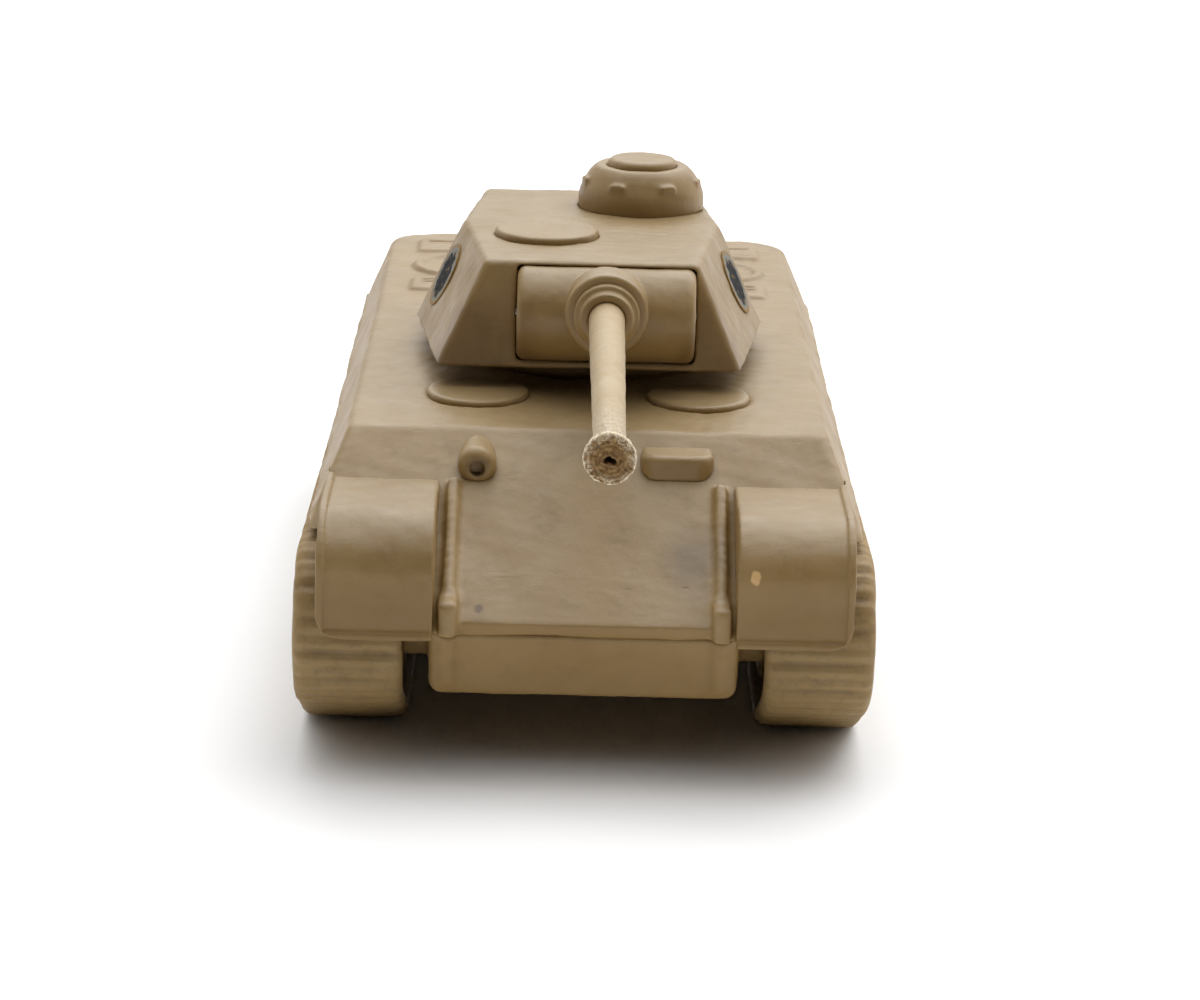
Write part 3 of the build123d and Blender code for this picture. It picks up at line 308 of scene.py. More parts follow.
def barrel_paint(name, muzzle, root):
    """Sand paint, paler than the hull's as a painted sheen, with painted shade at the root, that gathers
    dark pits and pale dust towards the muzzle.
    """
    g = Graph(name)
    # painted sheen: the tube's base colours are paler than the hull's sand
    colour = g.mix(g.ramp(g.noise(6.0, 4.0), 0.3, 0.7), BARREL_SHEEN_SAND, BARREL_SHEEN_LIGHT)
    near = g.ramp(g.spot(muzzle, (1.0, 1.0, 1.0)), 12.0, 3.0)
    pits = g.math("MULTIPLY", g.ramp(g.noise(0.18, 2.0, 0.5), 0.585, 0.62), near)
    dust = g.math("MULTIPLY", g.ramp(g.noise(0.5, 5.0, 0.7), 0.42, 0.6), near)
    colour = g.mix(dust, colour, BARREL_DUST)
    colour = g.mix(pits, colour, BARREL_PIT)
    shade = g.ramp(g.spot(root, (1.0, 1.0, 1.0)), 3.2, 0.8, 0.0, 0.5)
    colour = g.mix(shade, colour, SAND_BROWN)
    grain = g.bump(g.noise(0.2, 4.0, 0.7), 0.03, g.bump(g.noise(0.9, 3.0), 0.05))
    return g.finish(colour, g.ramp(g.noise(0.8, 4.0), 0.3, 0.7, 0.40, 0.6), grain)


def emblem_paint(name, centre, radius):
    """Generic round marking: dark disc, pale grey ring, worn through in places."""
    g = Graph(name)
    both_sides = g.tree.nodes.new("ShaderNodeVectorMath")
    both_sides.operation = "ABSOLUTE"
    g.link(g.millimetres, both_sides.inputs[0])
    g.millimetres = both_sides.outputs["Vector"]
    away = g.spot(centre, (radius, radius, radius), 0.10, 0.6)
    inner = g.mix(g.ramp(away, 0.66, 0.76), MARKING_DARK, MARKING_PALE)
    colour = g.mix(g.ramp(away, 0.86, 0.97), inner, SAND)
    worn = g.ramp(g.noise(0.7, 5.0, 0.7), 0.56, 0.64, 0.0, 0.75)
    colour = g.mix(worn, colour, SAND)
    grain = g.bump(g.noise(0.2, 3.0), 0.012)
    return g.finish(colour, g.ramp(g.noise(1.0), 0.3, 0.7, 0.7, 0.85), grain, specular=0.1)


def metal(name, colour, dark, roughness, grain_size=0.5, stretch=(1, 1, 1)):
    """Turned, plated or cast metal with uneven tarnish and fine tool marks."""
    g = Graph(name)
    tarnish = g.ramp(g.noise(1.8, 5.0, 0.6), 0.35, 0.7)
    marks = g.noise(grain_size, 4.0, 0.6, stretch)
    rough = g.ramp(marks, 0.3, 0.7, roughness - 0.08, roughness + 0.12)
    return g.finish(g.mix(tarnish, colour, dark), rough, g.bump(marks, 0.01), metallic=1.0)


def moulding(name, colour, second, roughness):
    """Moulded plastic with a fine spark-eroded grain."""
    g = Graph(name)
    tint = g.mix(g.ramp(g.noise(4.0, 4.0), 0.35, 0.65), colour, second)
    rough = g.ramp(g.noise(0.6, 4.0), 0.3, 0.7, roughness - 0.08, roughness + 0.08)
    return g.finish(tint, rough, g.bump(g.noise(0.12, 2.0), 0.01))


def circuit_lacquer(name):
    """Green solder mask with paler copper runs under it."""
    g = Graph(name)
    runs = g.tree.nodes.new("ShaderNodeTexVoronoi")
    runs.distance = "CHEBYCHEV"
    runs.feature = "F2"
    runs.inputs["Scale"].default_value = 0.6
    g.link(g.millimetres, runs.inputs["Vector"])
    trace = g.ramp(runs.outputs["Distance"], 0.62, 0.66)
    colour = g.mix(trace, (0.012, 0.10, 0.035), (0.03, 0.19, 0.06))
    return g.finish(colour, g.ramp(g.noise(0.8), 0.3, 0.7, 0.2, 0.35), g.bump(trace, 0.03))


# ------------------------------------------------------------------ mesh tools, in millimetres

def mesh_object(name, mesh):
    """New object in the scene's collection."""
    piece = bpy.data.objects.new(name, mesh)
    bpy.context.collection.objects.link(piece)
    return piece


def to_mesh(bm, name):
    """Closes off a bmesh built in millimetres as a smooth mesh in metres."""
    bmesh.ops.scale(bm, vec=(MM, MM, MM), verts=bm.verts)
    bmesh.ops.recalc_face_normals(bm, faces=bm.faces)
    mesh = bpy.data.meshes.new(name)
    bm.to_mesh(mesh)
    bm.free()
    mesh.shade_smooth()
    return mesh


def waves(points, wavelength, seed, count=14):
    """Smooth seeded unevenness of about -1 to 1 at each point."""
    random = np.random.default_rng(seed)
    total = np.zeros(len(points))
    for _ in range(count):
        direction = random.normal(size=3)
        direction /= np.linalg.norm(direction)
        length = wavelength * random.uniform(0.6, 1.6)
        total += np.sin(points @ direction * (TURN / length) + random.uniform(0, TURN))
    return total / math.sqrt(count)


def mesh_arrays(mesh):
    """Vertex places in metres and vertex normals."""
    count = len(mesh.vertices)
    points = np.empty(count * 3)
    normals = np.empty(count * 3)
    mesh.vertices.foreach_get("co", points)
    mesh.vertices.foreach_get("normal", normals)
    return points.reshape(-1, 3), normals.reshape(-1, 3)


def set_points(mesh, points):
    """Moves the vertices to places in metres."""
    mesh.vertices.foreach_set("co", points.ravel())
    mesh.update()


MOST_FACES = 98000    # four-sided ones, in one cast
FINE_SHARE = 0.3      # the finer waver's share of a cast's wobble
CLEAR = 1e-6          # metres kept inside the CAD box


def soft_cast(node, voxel, rounds, wobble=0.02, wavelength=3.0, extra=None, swell=0.0):
    """A CAD node recast as one closed skin with soft edges and slightly uneven faces."""
    name = "soft_" + node
    bm = bmesh.new()
    bm.from_mesh(NODES[node].data)
    bmesh.ops.remove_doubles(bm, verts=bm.verts, dist=1e-7)
    bmesh.ops.scale(bm, vec=(1 / MM, 1 / MM, 1 / MM), verts=bm.verts)
    if extra:
        extra(bm)
    draft = bpy.data.meshes.new(name + "_draft")
    bm.to_mesh(draft)
    bm.free()
    work = mesh_object(name + "_work", draft)
    remesh = work.modifiers.new("skin", "REMESH")
    remesh.mode = "VOXEL"
    remesh.voxel_size = voxel * 1.0
    smooth = work.modifiers.new("soften", "SMOOTH")
    smooth.factor = 0.5
    smooth.iterations = rounds
    graph = bpy.context.evaluated_depsgraph_get()
    faces = len(work.evaluated_get(graph).data.polygons)
    if faces > MOST_FACES:
        thin = work.modifiers.new("thin", "DECIMATE")
        thin.ratio = MOST_FACES / faces
        graph = bpy.context.evaluated_depsgraph_get()
    mesh = bpy.data.meshes.new_from_object(work.evaluated_get(graph))
    bpy.data.objects.remove(work)
    mesh.name = name
    points, normals = mesh_arrays(mesh)
    lift = waves(points, wavelength, len(name)) * wobble
    lift += waves(points, wavelength / 4, len(name) + 50) * wobble * FINE_SHARE + swell
    points = (points + normals * lift[:, None]) * MM
    low = np.array(CAD_LOW) + CLEAR
    high = np.array(CAD_HIGH) - CLEAR
    set_points(mesh, np.clip(points, low, high))
    mesh.shade_smooth()
    return mesh


def skin(bm, rings, closed):
    """Four-sided faces between each ring of vertices and the next, and back to the first where closed."""
    following = rings[1:] + rings[:1] if closed else rings[1:]
    for first, second in zip(rings, following):
        for step in range(len(first)):
            after = (step + 1) % len(first)
            bm.faces.new((first[step], second[step], second[after], first[after]))


def lathe(bm, profile, segments, turn, shift):
    """Closed ring or solid of revolution from (radius, along) corners; its axis is local Z before turn."""
    rings = []
    for radius, along in profile:
        if radius < 1e-6:
            rings.append([bm.verts.new(turn @ Vector((0, 0, along)) + shift)])
            continue
        ring = []
        for step in range(segments):
            angle = TURN * step / segments
            corner = Vector((radius * math.cos(angle), radius * math.sin(angle), along))
            ring.append(bm.verts.new(turn @ corner + shift))
        rings.append(ring)
    pairs = list(zip(rings, rings[1:]))
    if len(rings[0]) > 1 and len(rings[-1]) > 1:
        pairs.append((rings[-1], rings[0]))
    for first, second in pairs:
        for step in range(segments):
            following = (step + 1) % segments
            if len(first) == 1:
                bm.faces.new((first[0], second[step], second[following]))
            elif len(second) == 1:
                bm.faces.new((first[step], second[0], first[following]))
            else:
                bm.faces.new((first[step], second[step], second[following], first[following]))


def rounded(profile, radius, steps=3):
    """A profile with a short arc in place of each corner but its two ends."""
    corners = [Vector(point) for point in profile]
    result = [corners[0]]
    for before, corner, after in zip(corners, corners[1:], corners[2:]):
        near, far = before - corner, after - corner
        reach = min(radius, near.length * 0.45, far.length * 0.45)
        start = corner + near.normalized() * reach
        end = corner + far.normalized() * reach
        for step in range(steps + 1):
            share = step / steps
            a = start.lerp(corner, share)
            b = corner.lerp(end, share)
            result.append(a.lerp(b, share))
    result.append(corners[-1])
    return [tuple(point) for point in result]


ALONG_X = Matrix.Rotation(math.pi / 2, 3, "Y")
AGAINST_X = Matrix.Rotation(-math.pi / 2, 3, "Y")
ALONG_Y = Matrix.Rotation(-math.pi / 2, 3, "X")


def place(mesh, material, node):
    """Puts a finished mesh on its body in place of a CAD node."""
    piece = mesh_object(mesh.name, mesh)
    mesh.materials.clear()
    mesh.materials.append(material)
    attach(piece, NODE_BODY[node])
    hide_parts(node)


# ------------------------------------------------------------------ camera, light and floor

SPROCKET_TO_NOSE = 7.6
NOSE_Y = joint_at("left_sprocket_spin").y - SPROCKET_TO_NOSE
VIEW_TARGET = Vector((1.14, NOSE_Y + 20.0, 17.28))    # millimetres, as the distance below
VIEW_AZIMUTH = -0.65      # degrees
VIEW_ELEVATION = 16.47
VIEW_ROLL = 1.63
VIEW_DISTANCE = 297.5
LENS = 108.75
SENSOR = 36.0
FRONT_GLOW = 0.02         # radiance of the studio on the camera's side
REAR_GLOW = 0.88
TOP_GLOW = 2.45
LEFT_SHARE = 0.95         # the glow's share towards -X and +X
RIGHT_SHARE = 1.5
LAMP_AT = (0.12, 0.40, 0.46)    # metres
LAMP_AIM = (0, 0, 0.02)
LAMP_SIZE = (0.8, 0.45)
LAMP_WATTS = 2.2
FLOOR_HALF = 3000         # millimetres


def make_camera():
    """Camera at the photograph's angle, slightly rolled."""
    azimuth = math.radians(VIEW_AZIMUTH)
    elevation = math.radians(VIEW_ELEVATION)
    roll = math.radians(VIEW_ROLL)
    flat = math.cos(elevation)
    back = Vector((math.sin(azimuth) * flat, -math.cos(azimuth) * flat, math.sin(elevation)))
    right = (-back).cross(Vector((0, 0, 1))).normalized()
    up = right.cross(-back)
    tilted_right = right * math.cos(roll) + up * math.sin(roll)
    tilted_up = up * math.cos(roll) - right * math.sin(roll)
    camera = bpy.data.cameras.new("camera")
    camera.lens = LENS
    camera.sensor_width = SENSOR
    camera.clip_start = 0.01
    camera.clip_end = 10.0
    holder = bpy.data.objects.new("camera", camera)
    holder.location = (VIEW_TARGET + back * VIEW_DISTANCE) * MM
    axes = Matrix((tilted_right, tilted_up, back)).transposed()
    holder.rotation_mode = "QUATERNION"
    holder.rotation_quaternion = axes.to_quaternion()
    bpy.context.collection.objects.link(holder)
    bpy.context.scene.camera = holder


def make_world():
    """White studio: bright overhead and behind, brighter on the right, dark on the camera's side."""
    world = bpy.data.worlds.new("studio")
    bpy.context.scene.world = world
    world.use_nodes = True
    tree = world.node_tree
    tree.nodes.clear()
    direction = tree.nodes.new("ShaderNodeTexCoord").outputs["Generated"]
    split = tree.nodes.new("ShaderNodeSeparateXYZ")
    tree.links.new(direction, split.inputs[0])

    def glow(axis, start, end, low, high):
        """Strength that runs smoothly from low to high along one axis of the direction."""
        node = tree.nodes.new("ShaderNodeMapRange")
        node.interpolation_type = "SMOOTHSTEP"
        node.inputs["From Min"].default_value = start
        node.inputs["From Max"].default_value = end
        node.inputs["To Min"].default_value = low
        node.inputs["To Max"].default_value = high
        tree.links.new(split.outputs[axis], node.inputs["Value"])
        return node.outputs["Result"]

    def combine(kind, first, second):
        """One sum of two strengths."""
        node = tree.nodes.new("ShaderNodeMath")
        node.operation = kind
        tree.links.new(first, node.inputs[0])
        tree.links.new(second, node.inputs[1])
        return node.outputs["Value"]

    around = glow("Y", -0.6, 0.45, FRONT_GLOW, REAR_GLOW)
    overhead = glow("Z", 0.5, 1.0, 0.0, TOP_GLOW)
    ceiling = combine("MULTIPLY", overhead, glow("Y", -0.6, 0.15, 0.25, 1.0))
    sideways = glow("X", -1.0, 1.0, LEFT_SHARE, RIGHT_SHARE)
    strength = combine("MULTIPLY", combine("MAXIMUM", around, ceiling), sideways)
    background = tree.nodes.new("ShaderNodeBackground")
    background.inputs["Color"].default_value = (1.0, 1.0, 1.0, 1.0)
    output = tree.nodes.new("ShaderNodeOutputWorld")
    tree.links.new(strength, background.inputs["Strength"])
    tree.links.new(background.outputs["Background"], output.inputs["Surface"])


def make_lights():
    """Rectangular lamp high behind the tank, facing it."""
    lamp = bpy.data.lights.new("back_box", "AREA")
    lamp.shape = "RECTANGLE"
    lamp.size, lamp.size_y = LAMP_SIZE
    lamp.energy = LAMP_WATTS
    holder = bpy.data.objects.new("back_box", lamp)
    holder.location = LAMP_AT
    aim = Vector(LAMP_AIM) - holder.location
    holder.rotation_mode = "QUATERNION"
    holder.rotation_quaternion = aim.to_track_quat("-Z", "Y")
    bpy.context.collection.objects.link(holder)


def make_floor():
    """Plain pale floor, faintly uneven."""
    g = Graph("floor_paper")
    colour = g.mix(g.ramp(g.noise(60.0, 2.0), 0.3, 0.7), (0.87, 0.87, 0.87), (0.89, 0.89, 0.89))
    material = g.finish(colour, 0.9, g.bump(g.noise(2.0, 3.0), 0.01), specular=0.2)
    bm = bmesh.new()
    bmesh.ops.create_grid(bm, x_segments=4, y_segments=4, size=FLOOR_HALF)
    floor = mesh_object("floor", to_mesh(bm, "floor"))
    floor.data.materials.append(material)


# ------------------------------------------------------------------ hull and turret shells

INTO_HULL = 0.4
SKIRT = Vector((0.7, 0, 1.3))    # width and height; its length follows the hull's
SKIRT_SHORTER = 15.0             # than the upper hull
SKIRT_BACK = 3.5                 # from the upper hull's middle
SKIRT_INSET = 0.45


def run_into_hull(bm):
    """Draws a mudguard's inner wall a little way into the hull, so that the paint runs across the joint."""
    wall = min(abs(vert.co.x) for vert in bm.verts)
    for vert in bm.verts:
        if abs(vert.co.x) < wall + 0.01:
            vert.co.x -= math.copysign(INTO_HULL, vert.co.x)


def add_skirts(bm):
    """Thin lip under each sponson's outer edge, over the track."""
    low, high = box_mm("upper_hull")
    underside = box_mm("lower_hull")[1].z
    size = Matrix.Diagonal((SKIRT.x, high.y - low.y - SKIRT_SHORTER, SKIRT.z, 1.0))
    for side in (-1, 1):
        x = side * (high.x - SKIRT_INSET)
        at = Matrix.Translation((x, (low.y + high.y) / 2 + SKIRT_BACK, underside + 0.1))
        bmesh.ops.create_cube(bm, size=1.0, matrix=at @ size)


def middle_of_port():
    """Centre of the bow gun port's front."""
    centre = middle("machine_gun_mount")
    return centre.x, box_mm("machine_gun_mount")[0].y, centre.z


# node, voxel and rounds of softening of the small casts
FITTINGS = (("cupola", 0.15, 16), ("cupola_hatch", 0.15, 14), ("loader_hatch", 0.14, 12),
            ("hull_hatches", 0.15, 14), ("driver_visor", 0.12, 9), ("machine_gun_mount", 0.1, 12),
            ("exhaust_pipes", 0.12, 5), ("turret_ring", 0.2, 3), ("battery_door", 0.2, 3))


def make_shells():
    """Hull, mudguards, turret and the painted fittings on them."""
    nose = NOSE_Y
    glacis_rub = ((8.4, nose + 5.5, 16.8), (3.2, 5.0, 4.0), GREY_RUB, 0.2, 0.8)
    roof_rub = ((0.5, nose + 15.5, 23.0), (7.0, 2.5, 3.0), GREY_RUB, 0.3, 0.25)
    nose_pit = ((-8.2, nose + 1.2, 13.8), (0.5, 0.6, 0.5), PIT_AND_SHADE_BROWN, 0.4, 0.8)
    right_seam = ((-10.2, nose + 2.0, 15.0), (0.9, 9.0, 5.5), SAND_EDGE, 0.5, 0.45)
    left_seam = ((10.2, nose + 2.0, 15.0), (0.9, 9.0, 5.5), SAND_EDGE, 0.5, 0.3)
    hull = sand_paint("sand_hull", marks=(glacis_rub, roof_rub, nose_pit, right_seam, left_seam))
    # darker towards the bottom of the mudguards' fronts
    low_front_dark = tuple(((side * 16.4, nose - 1.0, 12.5), (9.0, 3.0, 5.5), GUARD_LOW_DARK, 0.3, 0.7)
                     for side in (-1, 1))
    bare_spot = ((13.0, nose - 1.2, 17.6), (0.42, 1.4, 0.62), BARE_RESIN, 0.7, 1.0)
    left_guard = sand_paint("sand_left_guard", tone=0.93, marks=low_front_dark + (bare_spot,))
    # painted shade: the right mudguard, on the -X side away from the light, is painted darker than the left
    shaded_right_guard = sand_paint("sand_right_guard", tone=0.86, marks=low_front_dark)
    # painted shade: dark brown under the bow gun port
    port_shade = (middle_of_port(), (1.0, 1.0, 1.0), PIT_AND_SHADE_BROWN, 0.5, 0.6)
    gun_port = sand_paint("sand_gun_port", marks=(port_shade,))
    plain = sand_paint("sand_plain")
    place(soft_cast("upper_hull", 0.24, 6, 0.05, 6.0, extra=add_skirts), hull, "upper_hull")
    place(soft_cast("lower_hull", 0.26, 4, 0.03, 6.0), plain, "lower_hull")
    for node, paint in (("left_mudguard", left_guard), ("right_mudguard", shaded_right_guard)):
        place(soft_cast(node, 0.13, 6, 0.04, 6.0, extra=run_into_hull), paint, node)
    cheek_y = box_mm("turret_shell")[0].y + 0.5
    # painted shade: darker brown on the turret front's cheeks beside the mantlet
    right_cheek_shade = ((-10.5, cheek_y, 27.5), (4.8, 3.4, 7.0), SAND_BROWN, 0.45, 0.7)
    left_cheek_shade = ((10.5, cheek_y, 27.5), (3.4, 3.4, 7.0), SAND_BROWN, 0.45, 0.4)
    turret = sand_paint("sand_turret", tone=0.93, marks=(right_cheek_shade, left_cheek_shade))
    place(soft_cast("turret_shell", 0.17, 6, 0.04, 6.0), turret, "turret_shell")
    for node, voxel, rounds in FITTINGS:
        paint = gun_port if node == "machine_gun_mount" else plain
        place(soft_cast(node, voxel, rounds), paint, node)


# ------------------------------------------------------------------ gun

BORE_R = 0.34
BORE_DEPTH = 1.6
SOCKET_R = 1.2          # round the barrel's tip
NECK_R = 1.34           # the flare's narrow end
GROOVE_PITCH = 0.33
FACE_STEPS = 32
FLARE_STEPS = 12
BARREL_STEPS = 90
BARREL_TAPER = 0.31     # radius lost from root to tip


def make_gun():
    """Mantlet, collar, barrel and muzzle."""
    axis = middle("gun_barrel")
    axis.y = 0
    shield_low, shield_high = box_mm("mantlet")
    shade_y = shield_low.y + 3.0
    right_shade = ((shield_low.x, shade_y, 27.0), (2.8, 5.0, 6.0), SAND_BROWN, 0.4, 0.55)
    left_shade = ((shield_high.x, shade_y, 27.0), (1.8, 5.0, 6.0), SAND_BROWN, 0.4, 0.5)
    mantlet_paint = sand_paint("sand_mantlet", tone=0.95, marks=(right_shade, left_shade))
    place(soft_cast("mantlet", 0.12, 12, 0.02, 4.0, swell=0.1), mantlet_paint, "mantlet")
    place(collar_mesh(axis), mantlet_paint, "gun_collar")
    muzzle = Vector((axis.x, box_mm("muzzle_ring")[0].y, axis.z))
    root = Vector((axis.x, box_mm("gun_collar")[0].y, axis.z))
    paint = barrel_paint("sand_barrel", tuple(muzzle), tuple(root))
    place(barrel_mesh(axis, root.y), paint, "gun_barrel")
    place(muzzle_mesh(muzzle), muzzle_paint("muzzle_crust", tuple(muzzle)), "muzzle_ring")


def collar_mesh(axis):
    """Stepped sleeve round the gun's root."""
    low, high = box_mm("gun_collar")
    front, rear = low.y, high.y
    bore = half_size("gun_barrel", 0) + 0.01
    outer = half_size("gun_collar", 0)
    step = rear - 0.9
    profile = [(bore, rear), (bore, front), (outer - 0.62, front), (outer - 0.5, front + 0.35),
               (outer - 0.5, step), (outer - 0.05, step + 0.15), (outer, rear)]
    bm = bmesh.new()
    lathe(bm, rounded(profile, 0.18), 96, ALONG_Y, axis)
    return to_mesh(bm, "cast_gun_collar")


def barrel_mesh(axis, root_y):
    """Tapered tube with a hand-made waver and its plain tenon inside the mantlet."""
    low, high = box_mm("gun_barrel")
    root_r = half_size("gun_barrel", 0)
    tip_r = root_r - BARREL_TAPER
    profile = [(0, low.y + 3.0), (0.3, low.y + 3.0), (0.33, low.y)]
    for step in range(BARREL_STEPS + 1):
        share = step / BARREL_STEPS
        profile.append((tip_r + (root_r - tip_r) * share, low.y + (root_y - low.y) * share))
    profile += [(root_r - 0.02, root_y + 0.3), (root_r - 0.02, high.y), (0, high.y)]
    bm = bmesh.new()
    lathe(bm, profile, 72, ALONG_Y, axis)
    mesh = to_mesh(bm, "soft_gun_barrel")
    points, normals = mesh_arrays(mesh)
    points = points / MM
    lift = waves(points, 4.0, 7) * 0.02
    outside = np.clip((root_y - points[:, 1]) / 2, 0, 1)
    set_points(mesh, (points + normals * (lift * outside)[:, None]) * MM)
    return mesh


def muzzle_outline(rim, rear):
    """Section of the flared ring: bore, grooved face, rounded rim, flare and the socket for the barrel."""
    outline = [(BORE_R, BORE_DEPTH)]
    outline += [(BORE_R - 0.05 * (1 - step / 3), 0.9 - 0.25 * step) for step in range(4)]
    for step in range(FACE_STEPS + 1):
        radius = BORE_R + (rim - 0.2 - BORE_R) * step / FACE_STEPS
        outline.append((radius, 0.05 + 0.035 * math.cos(radius * TURN / GROOVE_PITCH)))
    outline += [(rim - 0.1, 0.07), (rim - 0.03, 0.2), (rim - 0.03, 0.5), (rim - 0.15, 0.72)]
    for step in range(1, FLARE_STEPS + 1):
        share = step / FLARE_STEPS
        radius = rim - 0.2 - (rim - 0.2 - NECK_R) * share ** 0.8
        outline.append((radius, 0.78 + (rear - 0.78) * share))
    return outline + [(SOCKET_R, rear), (SOCKET_R, BORE_DEPTH)]


def muzzle_mesh(muzzle):
    """Flared ring with a pitted, grooved face and a small uneven bore."""
    top = box_mm("muzzle_ring")[1]
    rim = top.x - muzzle.x + 0.1
    bm = bmesh.new()
    lathe(bm, muzzle_outline(rim, top.y - muzzle.y), 144, ALONG_Y, muzzle)
    mesh = to_mesh(bm, "crusted_muzzle")
    points, normals = mesh_arrays(mesh)
    points = points / MM
    away = np.hypot(points[:, 0] - muzzle.x, points[:, 2] - muzzle.z)
    lift = waves(points, 0.7, 21) * 0.03 + waves(points, 0.28, 22) * 0.022 + waves(points, 0.12, 23) * 0.012
    outward = np.clip((away - 0.3) / 0.4, 0.2, 1)
    forward = np.clip((muzzle.y + BORE_DEPTH - points[:, 1]) / 0.8, 0.25, 1)
    points += normals * (lift * outward * forward)[:, None]
    # the bore's mouth, pulled out of round
    turn = np.arctan2(points[:, 2] - muzzle.z, points[:, 0] - muzzle.x)
    ragged = 0.45 * np.cos(2 * turn + 0.4) - 0.3 * np.sin(3 * turn)
    open_up = np.clip(1 - (away - BORE_R) / 0.5, 0, 1) * (points[:, 1] < muzzle.y + 0.8)
    wider = 1 + ragged * open_up * 0.75
    points[:, 0] = muzzle.x + (points[:, 0] - muzzle.x) * wider
    points[:, 2] = muzzle.z + (points[:, 2] - muzzle.z) * wider - 0.1 * open_up
    # kept behind the CAD ring's face and within its rim
    spread = np.hypot(points[:, 0] - muzzle.x, points[:, 2] - muzzle.z)
    points[:, 1] = np.maximum(points[:, 1], muzzle.y + 0.002)
    over = np.minimum(1, (rim - 0.002) / np.maximum(spread, 1e-6))
    points[:, 0] = muzzle.x + (points[:, 0] - muzzle.x) * over
    points[:, 2] = muzzle.z + (points[:, 2] - muzzle.z) * over
    set_points(mesh, points * MM)
    return mesh


# ------------------------------------------------------------------ tracks

LINKS = 84
LOOP_STEPS = 7200
BELT_R = {"sprocket": 5.45, "idler": 4.5}       # radius of the belt's inside round each
WHEEL_RUN = 0.15                                # between a road wheel and the belt
BELT = 0.9                                      # outside of the belt over its inside
BELT_EDGE = 0.35                                # share of that left at the belt's edges
SHOE = 1.25                                     # top of a shoe over the belt's inside
# a shoe's height along one link and across the track from its middle, as shares
SHOE_RISE = (0.15, 0.85, 1.0, 0.62, 0.62, 1.0, 0.85, 0.15)
ACROSS = (0, 0.12, 0.35, 0.6, 0.78, 0.88, 0.96, 1.0)
SHOULDER = (1, 1, 1, 1, 0.98, 0.9, 0.62, 0.1)
# a horn's depth into the loop, half width and half length, from its foot to its tip
HORN_LEVELS = ((-0.1, 0.5, 0.42), (0.7, 0.42, 0.34), (1.15, 0.22, 0.16))


def loop_points(count):
    """Points and outward normals of the track loop in the side view, evenly spaced along it."""
    supports = []
    for name in ("sprocket", "road_wheel_1", "road_wheel_8", "idler"):
        centre = joint_at(f"left_{name}_spin")
        radius = BELT_R.get(name) or half_size("left_road_wheel_1", 1) + WHEEL_RUN
        supports.append((centre.y, centre.z, radius))
    corners = []
    for step in range(LOOP_STEPS):
        angle = TURN * step / LOOP_STEPS
        ny, nz = math.cos(angle), math.sin(angle)
        y, z, r = max(supports, key=lambda c: c[0] * ny + c[1] * nz + c[2])
        corners.append((y + r * ny, z + r * nz, ny, nz))
    corners = np.array(corners)
    closed = np.vstack([corners, corners[:1]])
    steps = np.hypot(*(np.diff(closed[:, :2], axis=0).T))
    along = np.concatenate([[0], np.cumsum(steps)])
    wanted = np.arange(count) / count * along[-1]
    rows = [np.interp(wanted, along, closed[:, column]) for column in range(4)]
    return np.stack(rows, axis=1)


def track_mesh(name, centre_x):
    """Closed belt with a double-ribbed shoe and a guide horn on each link."""
    half = half_size("left_track", 0)
    xs = [-value for value in reversed(ACROSS[1:])] + list(ACROSS)
    edge = list(reversed(SHOULDER[1:])) + list(SHOULDER)
    samples = len(SHOE_RISE)
    bm = bmesh.new()
    rings = []
    for index, (y, z, ny, nz) in enumerate(loop_points(LINKS * samples)):
        lift = SHOE_RISE[index % samples]
        ring = []
        for x, fall in zip(xs, edge):
            height = BELT * (BELT_EDGE + (1 - BELT_EDGE) * fall) + (SHOE - BELT) * lift * fall
            ring.append(bm.verts.new((centre_x + x * half, y + ny * height, z + nz * height)))
        for x in reversed(xs):
            inner = 0.02 if abs(x) < 0.97 else 0.15
            ring.append(bm.verts.new((centre_x + x * half * 0.995, y + ny * inner, z + nz * inner)))
        rings.append(ring)
    skin(bm, rings, True)
    add_horns(bm, centre_x)
    mesh = to_mesh(bm, name)
    points, normals = mesh_arrays(mesh)
    points = points / MM
    points += normals * (waves(points, 3.0, 31) * 0.03)[:, None]
    set_points(mesh, np.clip(points * MM, np.array(CAD_LOW), np.array(CAD_HIGH)))
    return mesh


def make_tracks():
    """Both belts, in one paint."""
    paint = track_paint("sand_track")
    centre_x = middle("left_track").x
    for side, sign in SIDES:
        place(track_mesh(f"shoed_{side}_track", sign * centre_x), paint, side + "_track")


def add_horns(bm, x):
    """One tapered guide horn at the middle of each link, on the inside of the loop."""
    for y, z, ny, nz in loop_points(LINKS * 2)[1::2]:
        ty, tz = -nz, ny
        levels = []
        for depth, wide, long in HORN_LEVELS:
            level = []
            for sx, st in ((-1, -1), (1, -1), (1, 1), (-1, 1)):
                cy = y - ny * depth + ty * st * long
                cz = z - nz * depth + tz * st * long
                level.append(bm.verts.new((x + sx * wide, cy, cz)))
            levels.append(level)
        bm.faces.new(levels[0])
        bm.faces.new(levels[-1])
        skin(bm, levels, False)


# ------------------------------------------------------------------ wheels

AXLE_BORE = 0.65
DISC = 1.15           # thickness of one of a road wheel's two discs
SPROCKET_REACH = 3.7  # half the sprocket's width over its toothed rings
RING_IN = 2.55
TEETH = 17
TIP_R, FOOT_R, RING_HOLE = 5.15, 4.5, 2.7
SPOKES = 7
SPOKE_AT = 2.7        # the idler rims' middle planes, on each side of the wheel's
SPOKE_FOOT = 1.4      # distance from the axle
SPOKE_HALF = 0.42     # half thickness


def facing(end):
    """Turn that points a lathed part's axis along +X or -X."""
    return ALONG_X if end > 0 else AGAINST_X


